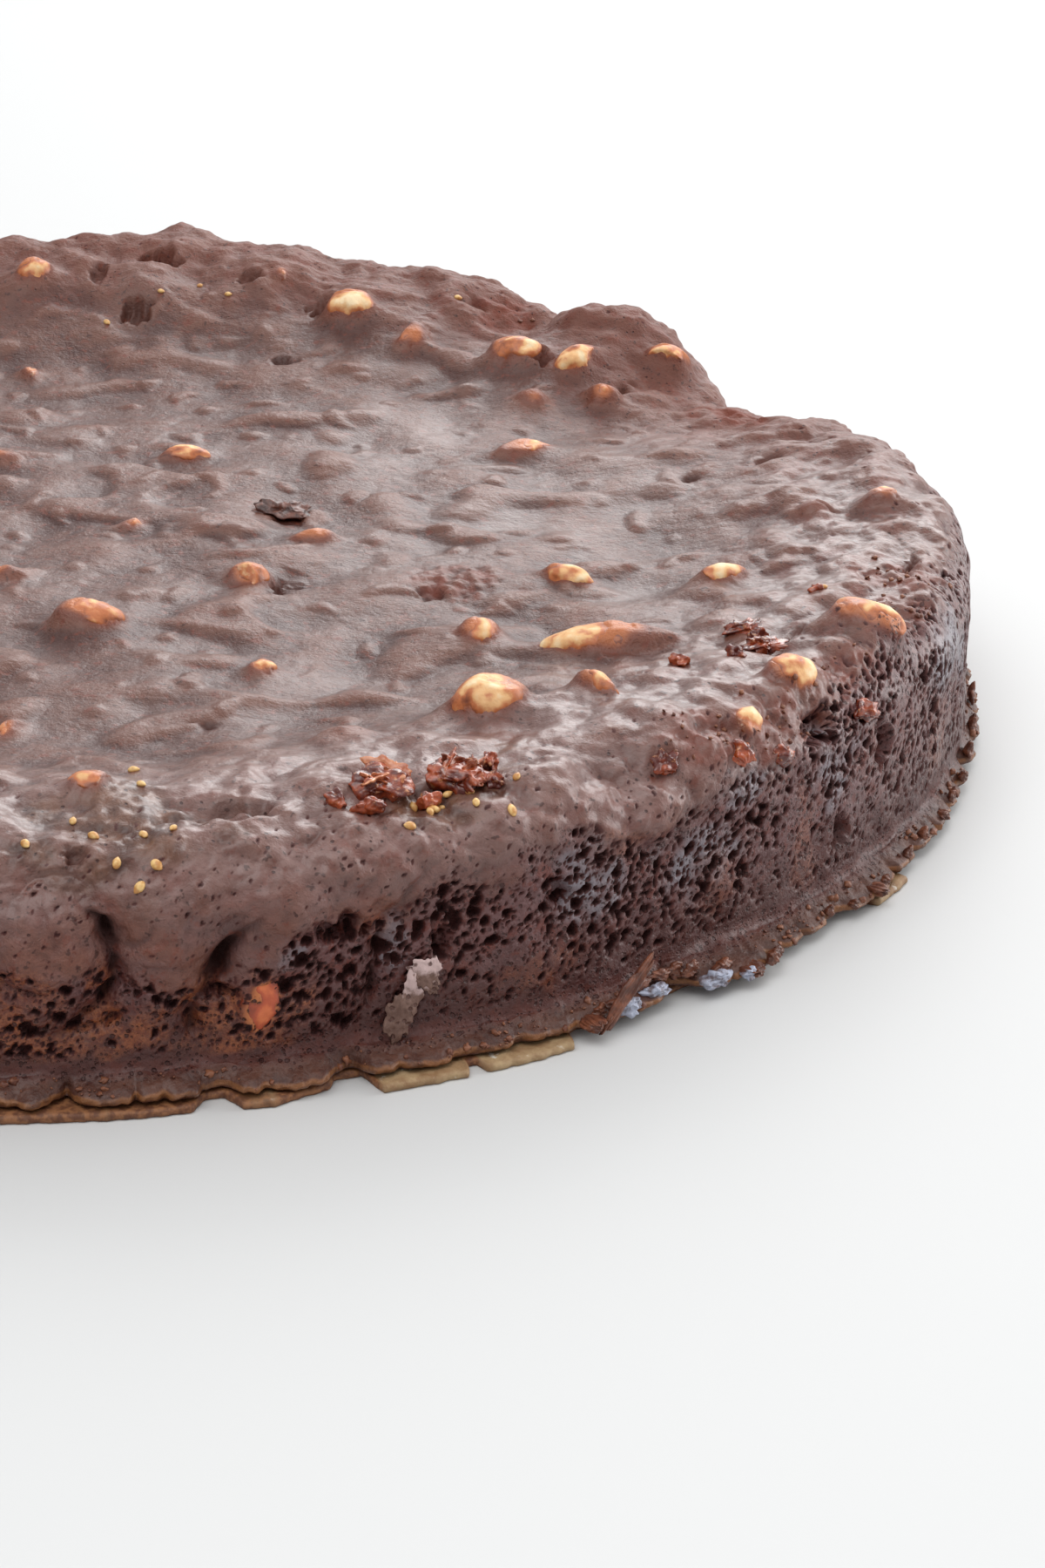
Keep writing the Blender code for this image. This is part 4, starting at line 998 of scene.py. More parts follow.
# %% Lift the skin over the nuts
over_nut = np.zeros(len(reach))
thin = np.zeros(len(reach))
hug = np.full(len(reach), -1e3)
for nut in nuts + chips:
    gap = plain - nut["seat"]
    near = np.nonzero((gap * gap).sum(axis=1) < (nut["size"] * 1.15 + 2.5) ** 2)[0]
    tree = BVHTree.FromPolygons([Vector(p) for p in nut["places"]], nut["faces"])
    far = 12.0
    found, struck, stands, steep = [], [], [], []
    for index in near:
        hit = tree.ray_cast(Vector(plain[index] + outward[index] * far), Vector(-outward[index]), 2 * far)
        if hit[0] is not None:
            found.append(index)
            struck.append(hit[0])
            stands.append(far - hit[3])
            steep.append(1 - max(0.0, float(np.dot(hit[1], outward[index]))))
    if not found:
        continue
    found = np.array(found)
    bare_there = bareness(nut, np.array(struck, float))
    shown = 1 - ease((0.60 - bare_there) / 0.22)
    level = np.array(stands) + 0.20 - (0.34 + 0.30 * np.array(steep)) * shown
    hug[found] = np.maximum(hug[found], level)
    over_nut[found] = 1.0
    thin[found] = np.maximum(thin[found], 0.22 + 0.78 * ease((bare_there + 0.12) / 0.66))
print("skin vertices over nuts:", int((hug > -1e2).sum()))


# %% Which vertices are neighbours
def neighbours():
    """Pairs of neighbouring vertices: along each ring and from ring to ring."""
    pairs = []
    for i, count in enumerate(counts):
        ids = np.arange(starts[i], starts[i] + count)
        pairs.append(np.stack([ids, np.roll(ids, -1)], axis=1))
        if i + 1 < len(counts):
            beyond = (np.arange(count) * counts[i + 1] / count).round().astype(int) % counts[i + 1]
            pairs.append(np.stack([ids, starts[i + 1] + beyond], axis=1))
    return np.concatenate(pairs)


pairs = neighbours()
both = np.concatenate([pairs, pairs[:, ::-1]])
degree = np.bincount(both[:, 0], minlength=len(reach))


def averaged(values):
    """Each vertex's value as the mean of its neighbours'."""
    return np.bincount(both[:, 0], values[both[:, 1]], minlength=len(reach)) / degree


print("pairs of neighbours:", len(pairs))

# %% Spread the lift smoothly
lifted = np.where(hug > height, hug - height, 0.0)
kept = lifted > 0
climb = lifted.copy()
for _ in range(64):
    climb = np.where(kept, lifted, averaged(climb) * 0.99)
for _ in range(2):
    climb = np.where(kept, 0.75 * climb + 0.25 * averaged(climb), averaged(climb))
film = thin.copy()
near_nut = over_nut.copy()
for _ in range(6):
    film = averaged(film)
for _ in range(24):
    near_nut = averaged(near_nut)
height = height + climb
flesh = plain + outward * height[:, None]
# Painted light and shade: crests are painted pale and hollows dark, by comparing each height with those round
# it.
around_height = height.copy()
for _ in range(90):
    around_height = averaged(around_height)
crest = np.clip(0.5 + (height - around_height) * 0.9, 0, 1)
print("dough climbs up to", round(float(climb.max()), 2), "mm")

# %% [markdown]
# ## The lip under the wall
#
# When the tin was lifted off, dough that had crept under its wall stayed behind as a thin, layered
# lip on the rice paper. Its edge is ragged and broken away in places. It carries on the same rings
# as the wall, through a groove, out over the lip and in again underneath.


# %% The ragged edges of the lip and of the paper
def ragged(turned, seed):
    """An uneven, broken edge, about -1 to 1, by angle in radians."""
    ring = np.stack([np.cos(turned), np.sin(turned), np.zeros_like(turned)], axis=-1)
    return 0.7 * swell(ring, 0.16, seed) + 0.6 * swell(ring, 0.07, seed + 1)


def notch(turned, at, width):
    """1 inside a gap in an edge, falling to 0 beside it."""
    return np.exp(-(((degrees_of(turned) - at) / width) ** 2))


# Degrees at which the lip is broken away, and at which a flap of it stands out.
LIP_GAPS = (-82.5, -75, -68.5, -49.5, -14, 62, 118, 171, -138, -102)
LIP_FLAPS = (-45, -33, 30, 95, 150, -120)


def lip_radius(turned):
    gaps = sum(notch(turned, at, 0.9) for at in LIP_GAPS)
    flaps = sum(notch(turned, at, 2.2) for at in LIP_FLAPS)
    return LIP_RADIUS + 0.6 * ragged(turned, 31) - 2.2 * gaps + 1.5 * flaps


# The edge of the paper, as degrees and radius: it lies under the lip, and shows at its tabs and
# where the lip broke away.
PAPER_EDGE = (
    (-180, 112.4), (-160, 112.2), (-159, 115.9), (-153, 116.1), (-152.4, 112.6), (-140, 114.4),
    (-128, 113.0), (-112, 114.6), (-98, 114.2), (-90, 115.1), (-86, 115.3), (-78, 115.3),
    (-76.4, 115.0), (-75.7, 112.8), (-74.7, 112.8), (-74.0, 115.4), (-72.5, 115.6), (-71, 114.6),
    (-69.6, 113.9), (-69.0, 112.2), (-67.6, 112.4), (-67.2, 116.1), (-62.7, 116.3), (-62.5, 114.4),
    (-61.9, 114.5), (-61.7, 116.4), (-56.8, 116.3), (-56.4, 113.2), (-48, 112.2), (-33.4, 112.6),
    (-33.0, 115.8), (-29.5, 115.9), (-29.2, 112.8), (-10, 113.4), (8, 112.4), (24, 114.2),
    (41.6, 113.0), (42.0, 116.0), (47.5, 115.9), (47.9, 112.8), (70, 114.0), (98.6, 112.6),
    (99.0, 115.9), (104, 116.1), (104.4, 112.8), (120, 114.2), (136.6, 112.8), (137, 115.8),
    (140.5, 115.9), (141, 112.6), (160, 114.2), (180, 112.4),
)


def paper_radius(turned):
    return np.interp(degrees_of(turned), [a for a, r in PAPER_EDGE], [r for a, r in PAPER_EDGE])


def level_ring(radius, turned, high):
    """Places round the axis at one height."""
    return np.stack([radius * np.cos(turned), radius * np.sin(turned), np.full(len(turned), high)], axis=1)


print("the paper reaches", max(r for a, r in PAPER_EDGE), "mm from the axis")


# %% The lip's rings
LIP_COUNT = int(counts[-1])
lip_angle = np.arange(LIP_COUNT) * (2 * math.pi / LIP_COUNT)
foot_ids = np.arange(starts[-2], starts[-1])
foot_radius = np.hypot(flesh[foot_ids, 0], flesh[foot_ids, 1])
smooth_foot = np.convolve(np.tile(foot_radius, 3), np.ones(61) / 61, "same")[LIP_COUNT : 2 * LIP_COUNT]
edge_radius = lip_radius(lip_angle)
along_edge = np.stack([lip_angle * 114, np.zeros(LIP_COUNT), np.zeros(LIP_COUNT)], axis=1)
tears = 0.42 * swell(along_edge, 2.6, 201) + 0.26 * swell(along_edge, 1.1, 202)
tears += 0.14 * swell(along_edge, 0.5, 203) - 0.9 * np.exp(-((swell(along_edge, 6.5, 204) / 0.08) ** 2))
LIP_PROFILE = (
    # Share of the way from the wall's foot to the edge, height in mm, how ragged.
    (0.01, 4.10, 0.0), (0.05, 3.82, 0.0), (0.11, 3.56, 0.1), (0.18, 3.34, 0.1), (0.26, 3.16, 0.2),
    (0.35, 2.98, 0.3), (0.44, 2.82, 0.4), (0.53, 2.68, 0.5), (0.62, 2.55, 0.6), (0.71, 2.43, 0.75),
    (0.80, 2.29, 0.9), (0.88, 2.14, 1.0), (0.95, 1.98, 1.0), (0.99, 1.83, 1.0), (1.0, 1.70, 1.0),
    (0.99, 1.60, 1.0), (0.98, 1.50, 0.9), (0.95, 1.38, 0.9), (0.91, 1.26, 0.8), (0.84, 1.17, 0.6),
    (0.60, 1.12, 0.3), (0.2, 1.10, 0.0), (-0.5, 1.10, 0.0),
)
lip_places, lip_share = [], []
for share, high, torn in LIP_PROFILE:
    start = foot_radius + (smooth_foot - foot_radius) * min(1.0, abs(share) * 6)
    radius = start + (edge_radius - start) * share + tears * torn
    ring = level_ring(radius, lip_angle, high)
    warp = 0.26 * swell(ring, 2.8, 205) + 0.14 * swell(ring, 0.9, 206)
    ring[:, 2] += warp * (1.0 if 1.3 < high else 0.0)
    seam = math.exp(-(((share - 0.10) / 0.07) ** 2)) if high > 2 else 0.0
    ring[:, 2] -= 0.40 * seam * ease(0.6 + 1.3 * swell(along_edge, 9.0, 209))
    push = 0.12 * swell(ring * [1, 1, 2.5], 0.8, 207) * (0.3 + torn) * (high > 1.15)
    ring[:, 0] += push * np.cos(lip_angle)
    ring[:, 1] += push * np.sin(lip_angle)
    lip_places.append(ring)
    lip_share.append(np.full(LIP_COUNT, np.clip(share, 0, 1)))
print("lip rings:", len(LIP_PROFILE), "edge at", round(float((edge_radius + tears).max()), 2), "mm at most")


# %% [markdown]
# ## From rings to meshes
#
# Neighbouring rings have different numbers of vertices, since a ring near the middle is short.
# They are joined like a zip: each edge of one ring takes the nearest vertex of the other. The skin
# is cut between rings into pieces, so that no piece is too heavy, and each piece keeps the normals
# of the whole skin, so that the cuts don't show. A coarse wall far behind closes each piece.


# %% Joining rings
def zip_rings(first, second):
    """Triangles between two rings of vertex numbers that face up when the second lies outside."""
    na, nb = len(first), len(second)
    i, j = np.arange(na), np.arange(nb)
    if nb >= na:
        near = np.floor((j + 0.5) * na / nb + 0.5).astype(int)
        switch = np.ceil((i + 0.5) * nb / na - 0.5).astype(int)
        return np.concatenate(
            [
                np.stack([first[near % na], second, second[(j + 1) % nb]], axis=1),
                np.stack([first, second[switch % nb], first[(i + 1) % na]], axis=1),
            ]
        )
    near = np.floor((i + 0.5) * nb / na + 0.5).astype(int)
    switch = np.ceil((j + 0.5) * na / nb - 0.5).astype(int)
    return np.concatenate(
        [
            np.stack([first, second[near % nb], first[(i + 1) % na]], axis=1),
            np.stack([second, second[(j + 1) % nb], first[switch % na]], axis=1),
        ]
    )


print("two rings of 8 and 12 make", len(zip_rings(np.arange(8), np.arange(12))), "triangles")


# %% A mesh, and a piece on the cake's body
def new_mesh(name, places, triangles, numbers=(), normals=None):
    """A smooth mesh from places in mm and triangles, carrying named numbers at its vertices."""
    mesh = bpy.data.meshes.new(name)
    mesh.vertices.add(len(places))
    mesh.vertices.foreach_set("co", (np.asarray(places) * MM).astype(np.float32).ravel())
    triangles = np.asarray(triangles, np.int32)
    mesh.loops.add(triangles.size)
    mesh.loops.foreach_set("vertex_index", triangles.ravel())
    mesh.polygons.add(len(triangles))
    mesh.polygons.foreach_set("loop_start", np.arange(0, triangles.size, 3, dtype=np.int32))
    mesh.update(calc_edges=True)
    mesh.validate()
    mesh.shade_smooth()
    for key, values in dict(numbers).items():
        layer = mesh.attributes.new(key, "FLOAT", "POINT")
        layer.data.foreach_set("value", np.asarray(values, np.float32))
    if normals is not None:
        mesh.normals_split_custom_set_from_vertices(normals.astype(np.float32))
    return mesh


def as_piece(mesh, material, stands_for):
    """Link a finished mesh as a piece of the cake, riding on its one body."""
    obj = bpy.data.objects.new(mesh.name, mesh)
    bpy.context.scene.collection.objects.link(obj)
    mesh.materials.clear()
    mesh.materials.append(material)
    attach(obj, "root")
    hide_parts(*stands_for)
    return obj


print("skin from the axis to", round(float(np.hypot(flesh[:, 0], flesh[:, 1]).max()), 1), "mm out")

# %% The whole skin as one net of triangles
middle = skin(0.0, 0.0)[0] + np.array([0, 0, height[: counts[0]].mean() - lumps[: counts[0]].mean()])
all_places = np.concatenate([flesh, *lip_places, [middle]])
ids = [np.arange(starts[i], starts[i + 1]) for i in range(len(counts))]
owners = [piece for piece, count, at in rings]
for i in range(len(LIP_PROFILE)):
    ids.append(np.arange(LIP_COUNT) + len(flesh) + i * LIP_COUNT)
    owners.append("cake_lip")
owners[len(counts) - 1] = "cake_lip"
nets = []
for i in range(len(ids) - 1):
    nets.append((owners[i], zip_rings(ids[i], ids[i + 1])))
triangles = np.concatenate([net for piece, net in nets])
corner = all_places[triangles]
facing = np.cross(corner[:, 1] - corner[:, 0], corner[:, 2] - corner[:, 0])
normal = np.stack(
    [
        sum(np.bincount(triangles[:, k], facing[:, axis], minlength=len(all_places)) for k in range(3))
        for axis in range(3)
    ],
    axis=1,
)
normal[-1] = (0, 0, 1)
normal /= np.maximum(1e-9, np.linalg.norm(normal, axis=1, keepdims=True))
print("skin and lip:", len(all_places), "vertices,", len(triangles), "triangles")

# %% The numbers that the materials read
def with_lip(values, lip_value):
    return np.concatenate([values, np.full(LIP_COUNT * len(LIP_PROFILE), lip_value), values[:1]])


# Some of these numbers drive painted light in the dough: shade and pit for painted shade, crest for painted
# light and shade, and the rim numbers and the sheen spots for painted sheen.
carried = {
    "pressed": with_lip(pressed, 1.0),
    "pit": with_lip(np.clip((pit + pinholes) / 0.5, 0, 1), 0.0),
    "shade": with_lip(np.clip(shade, 0, 1), 0.0),
    "torn": with_lip(rough, 0.3),
    "pulp": with_lip(pulp, 0.0),
    "amber": with_lip(amber, 0.0),
    "film": with_lip(film, 0.0),
    "near_nut": with_lip(near_nut, 0.0),
    "crest": with_lip(crest, 0.5),
    "bloom": with_lip(bloom, 0.0),
    "flank": with_lip(1 - on_top, 1.0),
    "foot": with_lip(ease((reach - foot_reach(angle) + 9) / 8), 1.0),
    "rim": with_lip(on_rim, 0.0),
    "dry_rim": with_lip(on_rim * ease((np.sin(angle) + 0.1) / 0.6), 0.0),
    "near_rim": with_lip(on_rim * ease((-np.sin(angle) - 0.45) / 0.4), 0.0),
    "lip": np.concatenate([np.zeros(len(flesh)), np.concatenate([0.001 + s for s in lip_share]), [0]]),
}
print("numbers carried:", ", ".join(carried))

# %% [markdown]
# ## The finish of the dough
#
# The skin is one material with several moods, and the numbers on the mesh say where each holds. On
# top it is a chestnut brown under a thin film of dried syrup that takes a grey sheen, painted darker
# in its hollows and paler on its crests as painted shade and light. The rim is rougher and painted
# browner at the back, and glossier and painted paler and greyer in front, as painted sheen. Torn
# crumb is rough and redder. The wall was pressed to a mauve brown with spots of painted bluish
# sheen, and its pits, folds and holes are painted from red brown to nearly black as painted shade.
# Low on the wall the syrup soaked through and stains it amber, and the lip is dark with a browned
# edge. Each mood is mixed over the one before, so the order below is the order of the layers.

# %% Dough: its patterns, and the numbers that it reads
dough = Finish("baked_dough", Coat_Roughness=0.28, Coat_IOR=1.45, Specular_IOR_Level=0.34)
cloud = dough.noise(11.0, 3, 0.55)
mottle = dough.noise(2.8, 4, 0.6)
grain = dough.noise(0.45, 4, 0.65)
speck = dough.noise(1.3, 3, 0.6)
fleck = dough.noise(0.8, 2, 0.5)
wall = dough.carried("pressed")
hole = dough.carried("pit")
dark = dough.carried("shade")
torn = dough.carried("torn")
pulp_here = dough.carried("pulp")
stain = dough.carried("amber")
filmed = dough.carried("film")
crest_light_hollow_shade = dough.carried("crest")
painted_sheen_here = dough.carried("bloom")
rim_here = dough.carried("rim")
dry_rim = dough.carried("dry_rim")
near_rim = dough.carried("near_rim")
flank = dough.carried("flank")
lip_here = dough.carried("lip")
fine_grain = grain.above(0.32, 0.68)
print("patterns and numbers:", len(dough.tree.nodes), "nodes")

# %% Dough: the brown top
# Painted shade and light: darker and redder in its hollows, paler on its crests.
high = (crest_light_hollow_shade + (mottle - 0.5) * 0.6 + (grain - 0.5) * 0.4).above(0.2, 0.8)
top_colour = dough.blend(high, (0.056, 0.014, 0.009), (0.160, 0.062, 0.040))
top_colour = dough.blend(cloud.above(0.35, 0.7) * 0.5, top_colour, (0.122, 0.049, 0.034))
top_colour = dough.blend(dough.carried("near_nut").above(0.03, 0.5) * 0.5, top_colour, (0.215, 0.068, 0.036))

# Over the shoulder it is mottled, painted darker in its hollows and paler on its crests, and shows a paler,
# greyer band of painted sheen before it turns down.
flank_colour = dough.blend(high, (0.050, 0.012, 0.009), (0.190, 0.070, 0.047))
shoulder = flank.above(0.01, 0.25) * (1 - flank.above(0.40, 0.85))
greyer = dough.noise(5.5, 3, 0.6).above(0.42, 0.60)
flank_colour = dough.blend(greyer * 0.7, flank_colour, (0.178, 0.088, 0.082))
sheen_band_colour = dough.blend(speck.above(0.40, 0.62), (0.315, 0.195, 0.172), (0.185, 0.070, 0.055))
top_colour = dough.blend(shoulder * 0.72, top_colour, sheen_band_colour)
top_colour = dough.blend(flank.above(0.35, 0.9) * 0.85, top_colour, flank_colour)

# The rim: browner, and painted browner still at the back where it takes little sheen; blotched with red;
# painted paler and greyer in front as painted sheen; and flecked with dark.
top_colour = dough.blend((rim_here * 0.34 + dry_rim * 0.36).clamp(), top_colour, (0.166, 0.053, 0.033))
top_colour = dough.blend(speck.above(0.56, 0.68) * 0.7, top_colour, (0.165, 0.036, 0.018))
blotch = dough.noise(4.5, 3, 0.6).above(0.52, 0.66)
top_colour = dough.blend(blotch * rim_here * 0.45, top_colour, (0.170, 0.038, 0.022))
top_colour = dough.blend(near_rim * mottle.above(0.28, 0.58) * 0.45, top_colour, (0.230, 0.138, 0.124))
top_colour = dough.blend(fleck.above(0.62, 0.70) * 0.7, top_colour, (0.040, 0.010, 0.007))
print("with the top:", len(dough.tree.nodes), "nodes")

# %% Dough: the pressed wall
# Mauve brown webs between its pits, with red patches and spots of painted bluish sheen.
wall_colour = dough.blend(mottle.above(0.3, 0.7), (0.072, 0.018, 0.016), (0.150, 0.064, 0.062))
wall_colour = dough.blend(fine_grain * 0.48, wall_colour, (0.220, 0.122, 0.122))
wall_colour = dough.blend(cloud.above(0.42, 0.62) * 0.45, wall_colour, (0.122, 0.031, 0.025))
wall_colour = dough.blend(speck.above(0.50, 0.62) * 0.75, wall_colour, (0.145, 0.029, 0.018))
wall_colour = dough.blend(dough.carried("foot") * 0.65, wall_colour, (0.062, 0.018, 0.013))
wall_colour = dough.blend(painted_sheen_here * mottle.above(0.25, 0.6) * 0.85, wall_colour, (0.225, 0.203, 0.228))
colour = dough.blend(wall, top_colour, wall_colour)
print("with the wall:", len(dough.tree.nodes), "nodes")

# %% Dough: torn crumb, pulp, stains and lip
colour = dough.blend(torn * 0.85 * mottle.above(0.3, 0.65), colour, (0.180, 0.038, 0.019))
pulp_colour = dough.blend(mottle.above(0.3, 0.7), (0.045, 0.012, 0.006), (0.170, 0.070, 0.036))
colour = dough.blend(pulp_here * 0.85, colour, pulp_colour)
soaked = dough.blend(grain.above(0.3, 0.7), (0.150, 0.028, 0.010), (0.360, 0.110, 0.036))
colour = dough.blend(stain * mottle.above(0.30, 0.62) * 0.85, colour, soaked)

lip_colour = dough.blend(mottle.above(0.35, 0.65), (0.056, 0.018, 0.012), (0.105, 0.040, 0.026))
lip_colour = dough.blend(fine_grain * 0.3, lip_colour, (0.170, 0.070, 0.045))
lip_edge = lip_here.above(0.90, 0.985) * (mottle.above(0.35, 0.55) * 0.7 + 0.3)
lip_colour = dough.blend(lip_edge, lip_colour, (0.250, 0.100, 0.038))
colour = dough.blend(lip_here.above(0.05, 0.55), colour, lip_colour)

# A film of syrup and dough over a nut lets it glow through, orange where it is thinnest.
glowing = dough.blend(filmed.above(0.35, 0.95), (0.190, 0.045, 0.024), (0.560, 0.175, 0.055))
colour = dough.blend((filmed + (mottle - 0.5) * 0.25).above(0.10, 0.70) * 0.9, colour, glowing)
print("with the stains:", len(dough.tree.nodes), "nodes")

# %% Dough: pits, and the painted shade of deep places
# The smallest pits are only painted dark, as painted shade, and bumped, because they are too small for the
# mesh. The finest pinholes in the brown skin are painted so too.
small = dough.pocks(0.95, 0.17, 0.30) * dough.noise(3.4, 2, 0.5).above(0.38, 0.52)
tiny = dough.pocks(0.52, 0.16, 0.32) * dough.noise(2.3, 2, 0.5).above(0.38, 0.52)
off_lip = 1 - lip_here.above(0.30, 0.65)
pocked = (small + tiny * 0.8).clamp() * wall.above(0.1, 0.6) * off_lip
pinned = dough.pocks(1.5, 0.07, 0.14) * (1 - wall) * (0.55 + rim_here * 0.45) * (1 - filmed.above(0.2, 0.5))
colour = dough.blend((pocked + pinned).clamp() * 0.9, colour, (0.050, 0.009, 0.0065))
# The pits in the mesh are painted darker with depth, from red brown to nearly black, as painted shade.
colour = dough.blend(hole.above(0.02, 0.18) * 0.92, colour, (0.078, 0.014, 0.010))
colour = dough.blend(hole.above(0.14, 0.60), colour, (0.030, 0.0045, 0.0036))
# The bottoms of folds and the hollows are painted darker, as painted shade.
colour = dough.blend(dark.above(0.1, 0.8) * 0.85, colour, (0.032, 0.0075, 0.0055))
print("with the pits:", len(dough.tree.nodes), "nodes")

# %% Dough: shine, syrup film and fine relief
shine = mottle * 0.14 + 0.32 + dry_rim * 0.14 + torn * 0.12 + hole * 0.6 + dark * 0.6
shine = shine - stain * 0.06 + fine_grain * 0.05
dough.feed(Base_Color=colour, Roughness=shine.clamp())
ledge = rim_here.above(0.45, 0.95) * (1 - dry_rim) + shoulder
wet = (cloud.above(0.3, 0.7) * 0.24 + 0.10) * (1 - dry_rim * 0.85)
wet = wet + ledge.clamp() * speck.above(0.3, 0.6) * 0.38 + near_rim * 0.10
dough.feed(Coat_Weight=((1 - hole * 2) * (1 - dark * 2)).clamp() * wet)
wrinkle = dough.noise(1.5, 5, 0.62, twist=0.8)
pebbled = dough.noise(0.8, 3, 0.6)
drawn_skin = dough.noise(3.2, 4, 0.6, twist=1.2)
dough.bump(
    grain * 0.10 + pebbled * 0.17 + wrinkle * 0.20 + drawn_skin * 0.24 - pocked * 0.26 - pinned * 0.18
    + flank * (1 - wall) * (drawn_skin * 0.20 + wrinkle * 0.22)
)
print("dough finish:", len(dough.tree.nodes), "nodes")

# %% Nut, bare and filmed
def nut_finish(name, core, flesh_tone, margin, deep):
    """Nut flesh: pale in the middle of a bare patch, and amber towards the film at its margin."""
    made = Finish(name, Roughness=0.5)
    vein = made.noise(1.7, 3, 0.55)
    powder = made.noise(0.6, 4, 0.65)
    level = made.carried("bare") + (vein - 0.5) * 0.45 + (powder - 0.5) * 0.18
    tone = made.blend(level.above(0.38, 0.62), deep, margin)
    tone = made.blend(level.above(0.60, 0.82), tone, flesh_tone)
    tone = made.blend(level.above(0.78, 1.04), tone, core)
    tone = made.blend(made.carried("broken") * powder.above(0.45, 0.7) * 0.35, tone, core)
    made.feed(Base_Color=tone, Roughness=0.36 + level.above(0.5, 0.8) * 0.2)
    made.bump(powder * 0.06 + vein * 0.12)
    return made


almond = nut_finish(
    "nut_flesh", (0.94, 0.73, 0.45), (0.84, 0.48, 0.21), (0.54, 0.165, 0.055), (0.21, 0.055, 0.025)
)
soaked_almond = nut_finish(
    "nut_in_syrup", (0.80, 0.26, 0.10), (0.72, 0.18, 0.065), (0.50, 0.090, 0.035), (0.22, 0.040, 0.018)
)
print("nut finishes ready")

# %% Fruit and fig seeds
jelly = Finish("sugared_fruit", Roughness=0.24, Coat_Weight=0.4, Coat_Roughness=0.06)
thick_part = jelly.noise(2.0, 3, 0.55)
fibres = jelly.noise(0.6, 3, 0.6)
jelly_colour = jelly.blend(thick_part.above(0.40, 0.64), (0.100, 0.010, 0.004), (0.400, 0.070, 0.018))
pale_flesh = jelly.blend(thick_part.above(0.35, 0.6), (0.520, 0.130, 0.045), (0.800, 0.340, 0.170))
jelly_colour = jelly.blend(jelly.carried("bare"), jelly_colour, pale_flesh)
jelly.feed(Base_Color=jelly.blend(fibres.above(0.56, 0.76) * 0.7, jelly_colour, (0.82, 0.38, 0.180)))
jelly.bump(fibres * 0.09 + thick_part * 0.2)

prune = Finish("dried_fruit", Roughness=0.4, Coat_Weight=0.2, Coat_Roughness=0.2)
prune_tone = prune.noise(1.2, 4, 0.6)
prune.feed(Base_Color=prune.blend(prune_tone.above(0.35, 0.7), (0.050, 0.014, 0.009), (0.190, 0.068, 0.044)))
prune.bump(prune_tone * 0.3)

pip = Finish("fig_seed", Roughness=0.35)
pip_tone = pip.noise(0.9, 2)
pip.feed(Base_Color=pip.blend(pip_tone.above(0.35, 0.65), (0.55, 0.25, 0.07), (0.86, 0.56, 0.22)))
pip.bump(pip_tone * 0.05)

print("fruit finishes:", jelly.material.name, prune.material.name, pip.material.name)

# %% Flakes, shards, sugar bloom and crumbs
husk = Finish("pale_flake", Roughness=0.55)
husk_tone = husk.noise(1.2, 4, 0.6)
husk_height = husk.carried("bare") + (husk_tone - 0.5) * 0.8
husk_holes = husk.pocks(0.9, 0.18, 0.34)
husk_colour = husk.blend(husk_tone.above(0.3, 0.7), (0.130, 0.062, 0.044), (0.230, 0.130, 0.100))
husk_colour = husk.blend(husk_height.above(0.35, 0.65), husk_colour, (0.60, 0.43, 0.41))
husk.feed(Base_Color=husk.blend(husk_holes * 0.85, husk_colour, (0.100, 0.036, 0.026)))
husk.bump(husk_tone * 0.2 - husk_holes * 0.15)

shard = Finish("lip_shard", Roughness=0.4, Coat_Weight=0.15, Coat_Roughness=0.2)
shard_tone = shard.noise(1.4, 4, 0.6)
shard.feed(Base_Color=shard.blend(shard_tone.above(0.35, 0.7), (0.090, 0.026, 0.014), (0.260, 0.085, 0.042)))
shard.bump(shard_tone * 0.25)

wax = Finish("sugar_bloom", Roughness=0.5)
wax_tone = wax.noise(1.0, 4, 0.6)
wax.feed(Base_Color=wax.blend(wax_tone.above(0.35, 0.6), (0.150, 0.110, 0.120), (0.47, 0.50, 0.62)))
wax.bump(wax_tone * 0.2)

crumb = Finish("loose_crumb", Roughness=0.5)
crumb_tone = crumb.noise(1.7, 3, 0.6)
crumb.feed(Base_Color=crumb.blend(crumb_tone.above(0.3, 0.7), (0.110, 0.031, 0.018), (0.285, 0.105, 0.050)))
crumb.bump(crumb_tone * 0.15)

print("finishes of scraps:", husk.material.name, shard.material.name, wax.material.name, crumb.material.name)

# %% Rice paper's finish
wafer = Finish("rice_paper", Roughness=0.62)
wafer_tone = wafer.noise(3.0, 5, 0.65)
wafer_grain = wafer.noise(0.8, 3, 0.6)
wafer_fleck = wafer.noise(1.3, 3, 0.55).above(0.62, 0.72)
wafer_colour = wafer.blend(wafer_tone.above(0.3, 0.7), (0.260, 0.140, 0.062), (0.470, 0.330, 0.180))
wafer_colour = wafer.blend(wafer_grain.above(0.5, 0.75) * 0.5, wafer_colour, (0.230, 0.110, 0.050))
wafer_colour = wafer.blend(wafer_fleck * 0.8, wafer_colour, (0.74, 0.70, 0.62))
soaked_paper = wafer.blend(wafer_grain.above(0.35, 0.65), (0.130, 0.045, 0.020), (0.300, 0.125, 0.050))
wafer.feed(Base_Color=wafer.blend(wafer.carried("dry"), soaked_paper, wafer_colour))
wafer.bump(wafer_tone * 0.15 + wafer_grain * 0.08)
print("finishes:", len(bpy.data.materials))


# %% [markdown]
# ## The cake in pieces, cut from the one skin
#
# Each piece is a closed body: the fine skin outside, and inside it a coarse wall 6 mm in. The
# textures of a ring-shaped piece lie best in strips, so each gets a map in which the ring is cut
# into rows, one above the other.


